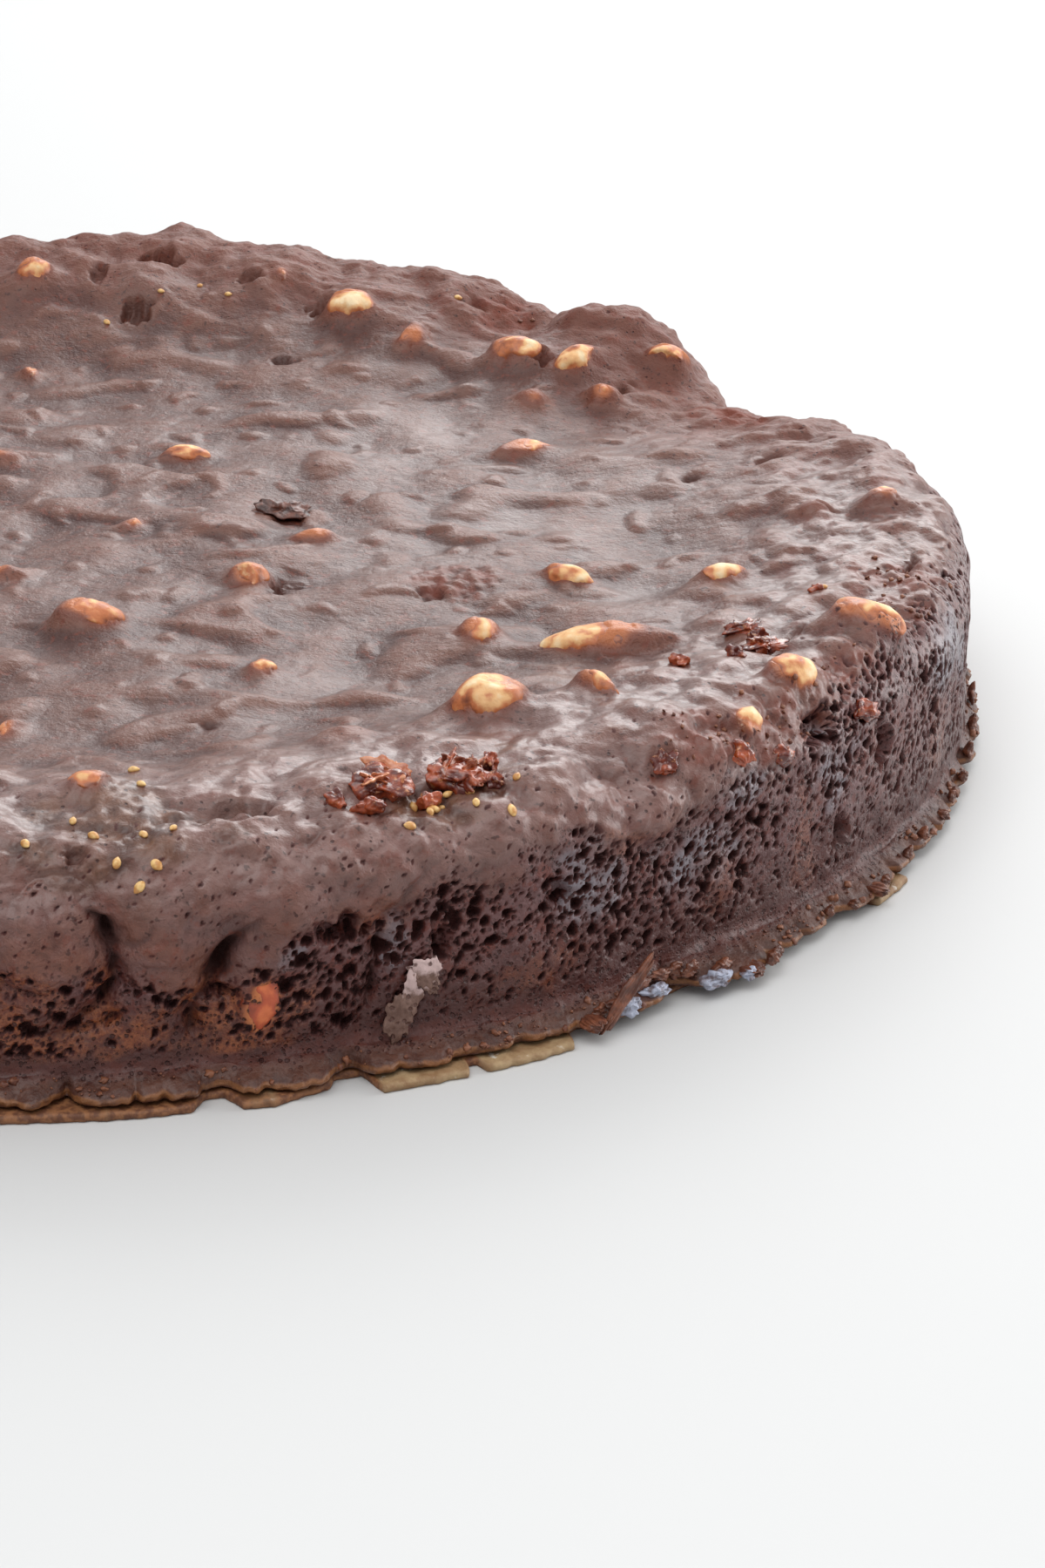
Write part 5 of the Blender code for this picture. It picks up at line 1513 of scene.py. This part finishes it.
# %% A map of a piece in strips
def in_strips(mesh, turned, along, rows):
    """Lay a ring-shaped piece out in rows, one above the other."""
    layer = mesh.uv_layers.new(name="OFBake")
    count = len(mesh.loops)
    vertex = np.empty(count, np.int32)
    mesh.loops.foreach_get("vertex_index", vertex)
    part = (turned[vertex] % (2 * math.pi)) / (2 * math.pi) * rows
    part = part.reshape(-1, 3)
    first = part[:, :1]
    part = np.where(part - first > rows / 2, part - rows, part)
    part = np.where(part - first < -rows / 2, part + rows, part)
    row = np.clip(np.floor(part.mean(axis=1)), 0, rows - 1)[:, None]
    u = (part - row) * 0.97 + 0.015
    v = (row + 0.03 + along[vertex].reshape(-1, 3) * 0.94) / rows
    layer.data.foreach_set("uv", np.stack([u, v], axis=2).astype(np.float32).ravel())


print("vertices in a ring of the widest piece:", int(counts.max()))

# %% Cut a piece out of the skin
BACKING_DEPTH = 6.0
BACKING_COUNT = 240
MIDDLE_COUNT = 96
whole_walk = np.concatenate([reach, np.full(len(all_places) - len(reach), WALK_ENDS)])


def cut_piece(name, rows):
    """One closed piece of the cake from the rings that it owns."""
    first = owners.index(name)
    last = len(owners) - owners[::-1].index(name)
    last = min(last, len(ids) - 1)
    net = [piece_net for owner, piece_net in nets[first:last] if owner == name]
    places = [all_places]
    total = len(all_places)

    def backing(ring, count):
        """A coarse ring well behind a ring of the skin's plain shape, deeper than any hollow."""
        nonlocal total
        source = ids[ring][(np.arange(count) * len(ids[ring]) / count).astype(int)]
        inner = plain[source] - outward[source] * BACKING_DEPTH
        inner[:, 2] = np.maximum(inner[:, 2], UNDERSIDE + 0.05)
        places.append(inner)
        numbers = np.arange(total, total + count)
        total += count
        return numbers

    if name == "cake_middle":
        centre = len(all_places) - 1
        ring = ids[0]
        net.append(np.stack([np.full(len(ring), centre), ring, np.roll(ring, -1)], axis=1))
        under = backing(last, MIDDLE_COUNT)
        net.append(zip_rings(ids[last], under))
        places.append(all_places[[centre]] - [[0, 0, BACKING_DEPTH]])
        net.append(np.stack([under, np.full(MIDDLE_COUNT, total), np.roll(under, -1)], axis=1))
    elif name == "cake_lip":
        places.append(np.array([[0.0, 0.0, UNDERSIDE]]))
        net.append(np.stack([ids[last], np.full(len(ids[last]), total), np.roll(ids[last], -1)], axis=1))
        total += 1
        high = backing(first, BACKING_COUNT)
        net.append(zip_rings(high, ids[first]))
        places.append(np.array([[0.0, 0.0, all_places[ids[first], 2].mean() - 1.5]]))
        net.append(np.stack([np.full(BACKING_COUNT, total), high, np.roll(high, -1)], axis=1))
    else:
        start, end = backing(first, BACKING_COUNT), backing(last, BACKING_COUNT)
        net += [zip_rings(start, ids[first]), zip_rings(ids[last], end), zip_rings(end, start)]
    net = np.concatenate(net)
    everything = np.concatenate(places)
    used, renumbered = np.unique(net.ravel(), return_inverse=True)
    old = used < len(all_places)
    source = np.where(old, used, 0)
    numbers = {key: np.where(old, values[source], 0) for key, values in carried.items()}
    normals = np.where(old[:, None], normal[source], [[0, 0, -1.0]])
    mesh = new_mesh(name, everything[used], renumbered.reshape(-1, 3), numbers, normals)
    if rows:
        turned = np.arctan2(everything[used][:, 1], everything[used][:, 0])
        walk = np.where(old, whole_walk[source], whole_walk[ids[last]].mean())
        nearest, farthest = walk[old].min(), walk[old].max()
        along = np.clip((walk - nearest) / (farthest - nearest), 0, 1)
        in_strips(mesh, turned, along, rows)
    piece = as_piece(mesh, dough.material, ["cake"])
    print(f"{name}: {len(mesh.polygons)} triangles")
    return piece


for name, rows in (
    ("cake_middle", 0), ("cake_top", 3), ("cake_rim", 5), ("cake_shoulder", 9), ("cake_wall_upper", 10),
    ("cake_wall_lower", 10), ("cake_foot", 9), ("cake_lip", 0),
):
    cut_piece(name, rows)

# %% [markdown]
# ## Nuts, chips and fruit as meshes
#
# Each nut keeps the shape that the skin was drawn over, and carries how bare and how broken it is.
# Fruit is torn rather than snapped, so its bodies are much more uneven and carry spikes of fibre.


# %% Join bodies into one piece
def joined(name, bodies, material, stands_for):
    """One piece from many bodies."""
    places = np.concatenate([b["places"] for b in bodies])
    starts_at = np.cumsum([0] + [len(b["places"]) for b in bodies])
    corners = []
    for b, start in zip(bodies, starts_at):
        for face in b["faces"]:
            corners.append((face[0] + start, face[1] + start, face[2] + start))
            if len(face) == 4:
                corners.append((face[0] + start, face[2] + start, face[3] + start))
    numbers = {
        "bare": np.concatenate([b["bareness"] for b in bodies]),
        "broken": np.concatenate([b["broken"] for b in bodies]),
    }
    mesh = new_mesh(name, places, corners, numbers)
    print(f"{name}: {len(bodies)} bodies, {len(corners)} triangles")
    return as_piece(mesh, material, stands_for)


for nut in nuts + chips:
    nut["bareness"] = bareness(nut, nut["places"])
on_the_top = [n for n in nuts if not n["wall"]]
in_the_wall = [n for n in nuts if n["wall"]]
joined("nuts", on_the_top, almond.material, [n["name"] for n in on_the_top])
joined("wall_nuts", in_the_wall, soaked_almond.material, [n["name"] for n in in_the_wall])
joined("nut_chips", chips, almond.material, ["cake"])

# %% A torn plate
def torn_plate(deep, wide, tall, seed):
    """A thin plate with a torn outline: its half-lengths through, along and up."""
    shape, faces = globe(56, 28)
    outline = np.stack([shape[:, 1], shape[:, 2], np.zeros(len(shape))], axis=1)
    outline /= np.maximum(0.05, np.linalg.norm(outline, axis=1, keepdims=True))
    tear = 0.42 * swell(outline * 1.1 + seed * 3.1, 0.8, seed)
    tear += 0.36 * swell(outline * 1.1 + seed, 0.33, seed + 1)
    bulk = shape.copy()
    bulk[:, 1:] *= (1 + tear)[:, None]
    bulk[:, 0] *= 1 + 0.5 * swell(shape * 2 + seed, 0.8, seed + 2)
    curl = 0.5 * (shape[:, 2] ** 2 - 0.3) + 0.35 * swell(shape * [0, 1, 1] + seed, 0.9, seed + 3)
    places = bulk * [deep, wide, tall]
    places[:, 0] += curl * deep * 1.2
    return places, faces, shape[:, 2]


print("a torn plate has", len(torn_plate(0.3, 2.0, 2.0, 1)[1]), "faces")

# %% Where the fruit lies
# Name, angle, reach in mm, half-lengths in mm, yaw from +X, lift, as for the nuts.
FRUIT = (
    ("fruit_torn", 18.0, 27.0, 3.8, 2.3, 1.7, 5, 0.30),
    ("fig_flesh_1", -64.5, 102.0, 2.9, 2.6, 2.6, 30, 0.35),
    ("fig_flesh_2", -60.0, 102.5, 3.2, 2.5, 2.4, -20, 0.35),
    ("fruit_jelly_1", -32.0, 98.5, 2.3, 1.8, 1.4, 35, 0.30),
    ("fruit_jelly_2", -29.0, 93.5, 1.9, 1.5, 1.2, 0, 0.25),
    ("fruit_west_1", -148.5, 86.5, 3.2, 2.4, 1.7, 15, 0.30),
    ("fig_flesh_3", 129.0, 101.5, 3.0, 2.6, 2.4, 50, 0.30),
)
# Small bits that are part of the cake: angle, reach and half-lengths.
JELLY_BITS = (
    (-43.5, 110.5, 1.5, 1.3), (-40.5, 112.5, 1.4, 1.2), (-48.5, 108.5, 1.5, 1.2), (-19.5, 97.0, 1.2, 0.9),
    (-31.5, 112.9, 1.9, 1.2), (-36.5, 92.5, 1.3, 0.9), (-67.5, 103.8, 1.3, 0.8), (-66.0, 105.6, 1.5, 0.7),
    (-57.5, 101.0, 1.2, 0.7), (-58.5, 105.0, 1.1, 0.8), (-62.5, 105.2, 1.4, 0.9), (-34.5, 97.6, 1.1, 0.8),
    (-30.5, 96.4, 1.0, 0.8),
)
# How many torn plates lie on a fruit, and how pale they are at most.
JUMBLED = {
    "fig_flesh_1": (6, 1.0), "fig_flesh_2": (7, 0.5), "fig_flesh_3": (6, 0.8), "fruit_west_1": (5, 0.6),
    "fruit_jelly_1": (4, 0.3),
}
print("pieces of fruit:", len(FRUIT), "and bits:", len(JELLY_BITS))


# %% Torn fruit
def torn_flesh(half, number, around, rows, spiky):
    """A body of torn fruit: a low lump drawn out into ridges."""
    shape, faces, broken = fine_body(half, number, around, rows, rough=0.45)
    ridge = 1 - np.abs(swell(shape * [1, 1, 0.5] + number * 3.0, 1.9, 8)) * 2.4
    length = np.linalg.norm(shape, axis=1, keepdims=True)
    away = (0.9 * ridge.clip(-0.6, 1) ** 3 - 0.25) * spiky
    return shape * (1 + away[:, None] / np.maximum(length, 0.6)), faces, broken


def turned_any_way(chance):
    """A turn that favours steep leans, so that torn plates stand on edge."""
    lean = math.radians(chance.uniform(-55, 55))
    spin = chance.uniform(0, 2 * math.pi)
    about = np.array([[math.cos(spin), -math.sin(spin), 0], [math.sin(spin), math.cos(spin), 0], [0, 0, 1]])
    tip = np.array([[math.cos(lean), 0, math.sin(lean)], [0, 1, 0], [-math.sin(lean), 0, math.cos(lean)]])
    return about @ tip


print("a big lump of fruit has", len(globe(72, 40)[1]), "faces")

# %% Fruit
fruits, torn_plates, jelly_bits = [], [], []
for row in FRUIT:
    number = sum(ord(letter) for letter in row[0]) % 89
    plate_count, palest = JUMBLED.get(row[0], (0, 0.3))
    shape, faces, broken = torn_flesh(row[3:6], number, 72, 40, 0.45 if plate_count else 0.8)
    turned = math.radians(row[1])
    settle = 0.46 if plate_count else 0.58
    places, out_from = stood(shape, turned, row[2], math.radians(row[6]) - turned, row[7] * row[5], settle)
    fruits.append({"places": places, "faces": faces, "broken": broken, "bareness": broken * palest * 0.6})
    chance = np.random.RandomState(number)
    for plate in range(plate_count):
        wide, tall = chance.uniform(0.45, 0.90) * row[3], chance.uniform(0.40, 0.70) * row[4]
        shape, faces, level = torn_plate(0.24, wide, tall, 600 + number + plate)
        shape = shape @ turned_any_way(chance).T
        shape[:, :2] += chance.uniform(-0.52, 0.52, 2) * row[3:5]
        shape[:, 2] += chance.uniform(-0.1, 0.3) * row[5]
        places, out_from = stood(shape, turned, row[2], math.radians(row[6]) - turned, row[7] * row[5], 0.78)
        pale = level * 0 + palest * chance.uniform(0.0, 1.0) ** (1.6 - palest)
        torn_plates.append({"places": places, "faces": faces, "broken": level * 0, "bareness": pale})
for number, (degrees, at, long, wide) in enumerate(JELLY_BITS):
    shape, faces, broken = torn_flesh((long, wide, 1.1), 300 + number, 48, 26, 0.5)
    places, out_from = stood(shape, math.radians(degrees), at, number * 1.1, 0.3, 0.8)
    jelly_bits.append({"places": places, "faces": faces, "broken": broken, "bareness": broken * 0.3})
joined("fruit_torn_flesh", fruits[:1], prune.material, ["fruit_torn"])
joined("fruit_jelly", fruits[1:] + torn_plates, jelly.material, [row[0] for row in FRUIT[1:]])
joined("fruit_bits", jelly_bits, jelly.material, ["cake"])

# %% [markdown]
# ## Fig seeds and crumbs, strewn with Geometry Nodes
#
# Seeds and crumbs repeat, so one small shape of each kind is set on many points by a tree of
# nodes. Each point carries which way it faces, how far it is turned and how big it is. The tree
# ends in real geometry and the material, and the result is turned into a plain mesh.


# %% The strewing tree
def strewing_tree(material):
    """A tree that sets a small shape on every point of a mesh."""
    tree = bpy.data.node_groups.new("strewn_pieces", "GeometryNodeTree")
    tree.interface.new_socket("Points", in_out="INPUT", socket_type="NodeSocketGeometry")
    tree.interface.new_socket("Shape", in_out="INPUT", socket_type="NodeSocketObject")
    tree.interface.new_socket("Length", in_out="INPUT", socket_type="NodeSocketFloat")
    tree.interface.new_socket("Seed", in_out="INPUT", socket_type="NodeSocketInt")
    tree.interface.new_socket("Strewn", in_out="OUTPUT", socket_type="NodeSocketGeometry")
    made = {}
    for key, kind in (
        ("in", "NodeGroupInput"), ("out", "NodeGroupOutput"), ("shape", "GeometryNodeObjectInfo"),
        ("points", "GeometryNodeMeshToPoints"), ("set", "GeometryNodeInstanceOnPoints"),
        ("facing", "GeometryNodeInputNamedAttribute"), ("size", "GeometryNodeInputNamedAttribute"),
        ("align", "FunctionNodeAlignRotationToVector"), ("spin", "FunctionNodeRotateRotation"),
        ("random", "FunctionNodeRandomValue"), ("axis", "FunctionNodeAxisAngleToRotation"),
        ("scale", "ShaderNodeMath"), ("real", "GeometryNodeRealizeInstances"),
        ("paint", "GeometryNodeSetMaterial"),
    ):
        made[key] = tree.nodes.new(kind)
    made["facing"].data_type = "FLOAT_VECTOR"
    made["facing"].inputs["Name"].default_value = "facing"
    made["size"].data_type = "FLOAT"
    made["size"].inputs["Name"].default_value = "size"
    made["align"].axis = "Z"
    made["spin"].rotation_space = "LOCAL"
    made["random"].data_type = "FLOAT"
    made["random"].inputs[3].default_value = 2 * math.pi
    made["axis"].inputs["Axis"].default_value = (0, 0, 1)
    made["scale"].operation = "MULTIPLY"
    made["paint"].inputs["Material"].default_value = material
    link = tree.links.new
    link(made["in"].outputs["Points"], made["points"].inputs["Mesh"])
    link(made["points"].outputs[0], made["set"].inputs["Points"])
    link(made["in"].outputs["Shape"], made["shape"].inputs["Object"])
    link(made["shape"].outputs["Geometry"], made["set"].inputs["Instance"])
    link(made["facing"].outputs[0], made["align"].inputs["Vector"])
    link(made["align"].outputs[0], made["spin"].inputs["Rotation"])
    link(made["in"].outputs["Seed"], made["random"].inputs["Seed"])
    link(made["random"].outputs[1], made["axis"].inputs["Angle"])
    link(made["axis"].outputs[0], made["spin"].inputs["Rotate By"])
    link(made["spin"].outputs[0], made["set"].inputs["Rotation"])
    link(made["size"].outputs[0], made["scale"].inputs[0])
    link(made["in"].outputs["Length"], made["scale"].inputs[1])
    link(made["scale"].outputs[0], made["set"].inputs["Scale"])
    link(made["set"].outputs[0], made["real"].inputs[0])
    link(made["real"].outputs[0], made["paint"].inputs[0])
    link(made["paint"].outputs[0], made["out"].inputs[0])
    return tree


def strewn(name, shape, faces, places, facing, sizes, length, seed, material):
    """A piece of many small copies of one shape, set on places in mm."""
    helper = bpy.data.objects.new(name + "_shape", bpy.data.meshes.new(name + "_shape"))
    helper.data.from_pydata([tuple(p) for p in shape], [], [tuple(f) for f in faces])
    helper.data.shade_smooth()
    points = bpy.data.meshes.new(name + "_points")
    points.from_pydata([tuple(np.asarray(p) * MM) for p in places], [], [])
    points.attributes.new("facing", "FLOAT_VECTOR", "POINT").data.foreach_set(
        "vector", np.asarray(facing, np.float32).ravel()
    )
    points.attributes.new("size", "FLOAT", "POINT").data.foreach_set("value", np.asarray(sizes, np.float32))
    carrier = bpy.data.objects.new(name + "_carrier", points)
    for obj in (helper, carrier):
        bpy.context.scene.collection.objects.link(obj)
    tree = strewing_tree(material)
    modifier = carrier.modifiers.new("strewing", "NODES")
    modifier.node_group = tree
    sockets = {item.name: item.identifier for item in tree.interface.items_tree if item.in_out == "INPUT"}
    modifier[sockets["Shape"]] = helper
    modifier[sockets["Length"]] = length * MM
    modifier[sockets["Seed"]] = seed
    graph = bpy.context.evaluated_depsgraph_get()
    mesh = bpy.data.meshes.new_from_object(carrier.evaluated_get(graph))
    mesh.name = name
    for obj in (carrier, helper):
        bpy.data.objects.remove(obj, do_unlink=True)
    piece = as_piece(mesh, material, ["cake"])
    print(f"{name}: {len(places)} copies, {len(mesh.polygons)} faces")
    return piece


# %% Places on the finished skin
def on_skin(degrees, at):
    """The finished skin's place and normal nearest to an angle and a reach."""
    turned = math.radians(degrees) % (2 * math.pi)
    ring = int(np.argmin(np.abs(ring_reach - at)))
    index = starts[ring] + int(round(turned / (2 * math.pi) * counts[ring])) % counts[ring]
    return flesh[index], normal[index]


ring_reach = np.array(
    [reach[starts[i]] if rings[i][2] <= WALK_STRETCHES else rings[i][2] for i in range(len(counts))]
)
print("the skin's top at the axis is", round(float(on_skin(0.0, 0.5)[0][2]), 1), "mm up")

# %% Fig seeds
# Each: angle and reach.
SEEDS = (
    (-77.5, 95.0), (-76.5, 105.5), (-78.0, 105.0), (-80.5, 104.5), (-84.0, 106.0), (-79.5, 108.5),
    (-81.5, 102.0), (-77.5, 86.5), (-77.5, 109.5), (-78.5, 111.5), (-62.5, 106.5), (-57.5, 105.5),
    (-59.0, 109.0), (-64.5, 108.5), (-60.5, 107.5), (-62.2, 103.0), (-61.2, 104.6), (-60.2, 105.4),
    (-63.4, 105.2), (-62.9, 106.8), (-58.6, 104.0), (-63.8, 103.4), (-61.9, 105.9), (82.5, 86.0),
    (89.0, 84.0), (85.5, 88.5), (94.5, 78.0), (61.5, 96.5), (-19.5, 97.5), (126.0, 104.5),
    (132.0, 104.0), (129.5, 97.5), (-152.0, 80.0), (-144.5, 84.0), (-148.5, 93.5), (108.5, 95.0),
    (-111.0, 100.0), (-115.5, 99.5),
)
seed_shape, seed_faces, _ = fine_body((1.0, 0.68, 0.55), 5, 14, 8, taper=0.45, rough=0.06)
where, ways = zip(*[on_skin(*row) for row in SEEDS])
where = [place + way * 0.12 for place, way in zip(where, ways)]
chance = np.random.RandomState(11)
sizes = chance.uniform(0.75, 1.05, len(where))
strewn("fig_seeds", seed_shape, seed_faces, where, ways, sizes, 0.72, 3, pip.material)

# %% Crumbs along the lip and in the torn patches
crumb_shape, crumb_faces, _ = fine_body((1.0, 0.75, 0.45), 9, 10, 6, rough=0.7)
where, ways, sizes = [], [], []
chance = np.random.RandomState(12)
for _ in range(int(1200 * DRAFT)):
    ring = chance.randint(5, 14)
    at = chance.randint(0, LIP_COUNT)
    place = lip_places[ring][at]
    thick_here = 0.5 + 0.5 * math.sin(at * 0.031) * math.sin(at * 0.0071 + 2)
    if chance.uniform() > 0.25 + 0.75 * thick_here:
        continue
    where.append(place + [0, 0, 0.1])
    ways.append(normal[len(flesh) + ring * LIP_COUNT + at] + chance.normal(size=3) * 0.4)
    sizes.append(0.12 + 0.42 * chance.uniform() ** 3)
for index in chance.permutation(np.nonzero((rough > 0.5) & (reach > 100))[0])[: int(160 * DRAFT)]:
    where.append(flesh[index] + normal[index] * 0.1)
    ways.append(normal[index] + chance.normal(size=3) * 0.4)
    sizes.append(0.10 + 0.32 * chance.uniform() ** 2)
strewn("crumbs", crumb_shape, crumb_faces, where, ways, sizes, 1.0, 4, crumb.material)

# %% [markdown]
# ## Flakes and the rice paper
#
# A few thin flakes of skin stand off the wall and the lip. The rice paper is an edible sheet, baked
# on, and shows only as torn tan tabs past the lip.

# %% Where flakes and shards stand
# Angle, radius and height in mm, half-lengths through, along and up, lean in degrees.
PALE_FLAKES = (
    (-64.3, 112.2, 10.3, 0.30, 1.8, 1.6, -20), (-65.0, 112.2, 8.4, 0.30, 1.1, 2.4, -8),
    (-64.0, 112.1, 9.2, 0.28, 0.8, 1.5, 30), (-128.0, 112.0, 9.0, 0.35, 1.6, 2.6, 15),
)
BROWN_FLAKES = (
    (-65.7, 112.1, 6.0, 0.40, 1.5, 2.6, -10), (-128.4, 112.1, 7.0, 0.4, 1.3, 2.2, 10),
)
LIP_SHARDS = (
    (-53.7, 115.9, 4.2, 0.45, 0.9, 4.6, -42), (-55.6, 115.8, 2.2, 1.5, 1.0, 0.6, 0),
    (-54.6, 114.6, 2.6, 0.5, 1.3, 0.9, 10), (-51.9, 113.4, 3.1, 0.5, 1.7, 0.8, 8),
    (-49.3, 112.9, 3.2, 0.5, 1.5, 0.9, -12), (-46.6, 114.6, 2.6, 0.6, 1.3, 0.8, 15),
    (-45.0, 116.0, 1.9, 1.4, 1.5, 0.6, 0), (-33.0, 115.5, 2.2, 1.2, 1.0, 0.5, 0),
    (-43.6, 116.4, 2.4, 0.5, 0.9, 0.9, 30), (-42.8, 115.6, 2.0, 0.4, 0.8, 0.6, -20),
    (-48.5, 113.9, 3.3, 0.4, 1.2, 0.8, 10), (-50.4, 113.4, 3.6, 0.4, 1.3, 0.7, -8),
    (-37.2, 114.4, 2.4, 0.4, 0.6, 0.7, 25), (-35.4, 115.2, 2.1, 0.5, 0.6, 0.5, 0),
    (-31.8, 115.2, 2.2, 0.4, 0.7, 0.6, -20), (-28.0, 114.6, 2.4, 0.4, 0.8, 0.7, 15),
    (-25.5, 114.4, 2.6, 0.5, 0.7, 0.8, 20), (-22.0, 114.6, 2.2, 0.7, 0.9, 0.5, 0),
    (-19.5, 114.4, 2.6, 0.4, 0.8, 0.9, -15), (-16.5, 114.5, 2.5, 0.5, 0.7, 0.7, 10),
    (-13.0, 114.2, 2.9, 0.5, 0.9, 1.1, -10), (-9.0, 114.1, 3.1, 0.5, 0.9, 1.2, 10),
    (-5.0, 113.9, 4.0, 0.4, 0.8, 1.5, -15),
    (20.0, 114.2, 2.6, 1.3, 1.4, 0.9, 0), (104.0, 114.4, 2.6, 1.3, 1.6, 0.9, 0),
    (-170.0, 114.2, 2.6, 1.3, 1.7, 0.9, 0), (60.0, 113.6, 3.0, 0.6, 1.4, 1.1, 10),
    (140.0, 114.0, 2.8, 0.8, 1.6, 1.0, -8), (-105.0, 114.2, 2.7, 0.9, 1.5, 0.9, 0),
)
BLOOM_PATCHES = (
    (-53.2, 115.0, 2.2, 0.7, 1.7, 0.9, 0), (-51.0, 114.0, 2.4, 0.7, 2.0, 0.9, 0),
    (-47.4, 115.5, 2.1, 0.8, 1.9, 0.95, 0), (-45.6, 116.6, 1.9, 0.6, 1.0, 0.6, 0),
    (22.5, 114.6, 1.9, 1.0, 1.4, 0.7, 0), (106.5, 114.6, 1.9, 1.0, 1.4, 0.7, 0),
    (-126.0, 114.6, 1.9, 1.0, 1.6, 0.7, 0), (175.0, 114.4, 1.9, 1.0, 1.5, 0.7, 0),
)
print("plates:", len(PALE_FLAKES) + len(BROWN_FLAKES) + len(LIP_SHARDS) + len(BLOOM_PATCHES))


# %% Flakes and shards
def set_plates(rows, first_seed, pale=0.5):
    """Stand torn plates round the cake, paler towards their tops."""
    made = []
    for number, (degrees, radius, high, deep, wide, tall, lean) in enumerate(rows):
        shape, faces, level = torn_plate(deep, wide, tall, first_seed + number)
        turned, tipped = math.radians(degrees), math.radians(lean)
        cos, sin = math.cos(tipped), math.sin(tipped)
        tip = np.array([[1, 0, 0], [0, cos, -sin], [0, sin, cos]])
        cos, sin = math.cos(turned), math.sin(turned)
        swing = np.array([[cos, -sin, 0], [sin, cos, 0], [0, 0, 1]])
        places = shape @ tip.T @ swing.T + [radius * cos, radius * sin, high]
        places[:, 2] = np.maximum(places[:, 2], 0.85)
        made.append({"places": places, "faces": faces, "broken": level * 0, "bareness": level * 0.5 + pale})
    return made


flakes = set_plates(PALE_FLAKES, 400) + set_plates(BROWN_FLAKES, 410, -0.1)
joined("skin_flakes", flakes, husk.material, ["cake"])
joined("lip_shards", set_plates(LIP_SHARDS, 430), shard.material, ["cake"])
joined("bloom_patches", set_plates(BLOOM_PATCHES, 470), wax.material, ["cake"])

# %% Rice paper
PAPER_COUNT = int(2000 * DRAFT)
paper_angle = np.arange(PAPER_COUNT) * (2 * math.pi / PAPER_COUNT)
edge = paper_radius(paper_angle)
edge_line = np.stack([paper_angle * 114, np.zeros(PAPER_COUNT), np.zeros(PAPER_COUNT)], axis=1)
edge = edge + 0.30 * swell(edge_line, 1.6, 211) + 0.15 * swell(edge_line, 0.6, 212)
paper_places, paper_ids = [], []
for back_from_edge, high in (
    (8.0, 0.0), (3.0, 0.0), (1.5, 0.0), (0.7, 0.0), (0.15, 0.05), (0.0, 0.3), (0.03, 0.6), (0.25, 0.82),
    (0.7, 0.86), (1.2, 0.84), (1.8, 0.82), (2.6, 0.8), (8.0, 0.8),
):
    radius = edge - back_from_edge
    ring = level_ring(radius, paper_angle, high)
    if high > 0.5 and back_from_edge < 5:
        ring[:, 2] += 0.14 * swell(ring, 1.8, 213) + 0.08 * swell(ring, 0.8, 214)
    paper_ids.append(np.arange(PAPER_COUNT) + len(paper_places) * PAPER_COUNT)
    paper_places.append(ring)
paper_places = np.concatenate(paper_places + [np.array([[0, 0, 0.0], [0, 0, 0.8]])])
low, high = len(paper_places) - 2, len(paper_places) - 1
net = [np.stack([np.full(PAPER_COUNT, low), np.roll(paper_ids[0], -1), paper_ids[0]], axis=1)]
net += [zip_rings(after, before) for before, after in zip(paper_ids, paper_ids[1:])]
net.append(np.stack([np.full(PAPER_COUNT, high), paper_ids[-1], np.roll(paper_ids[-1], -1)], axis=1))
dry = np.concatenate([np.tile(ease((edge - 115.3) / 0.7), len(paper_ids)), [0, 0]])
paper_mesh = new_mesh("rice_paper", paper_places, np.concatenate(net), {"dry": dry})
as_piece(paper_mesh, wafer.material, ["wafer_base"])
print("rice paper:", len(paper_mesh.polygons), "triangles")

# %% Sizes, then finish
low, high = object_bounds()
print("visual box in mm:", [round(v * 1000, 1) for v in (high - low)])
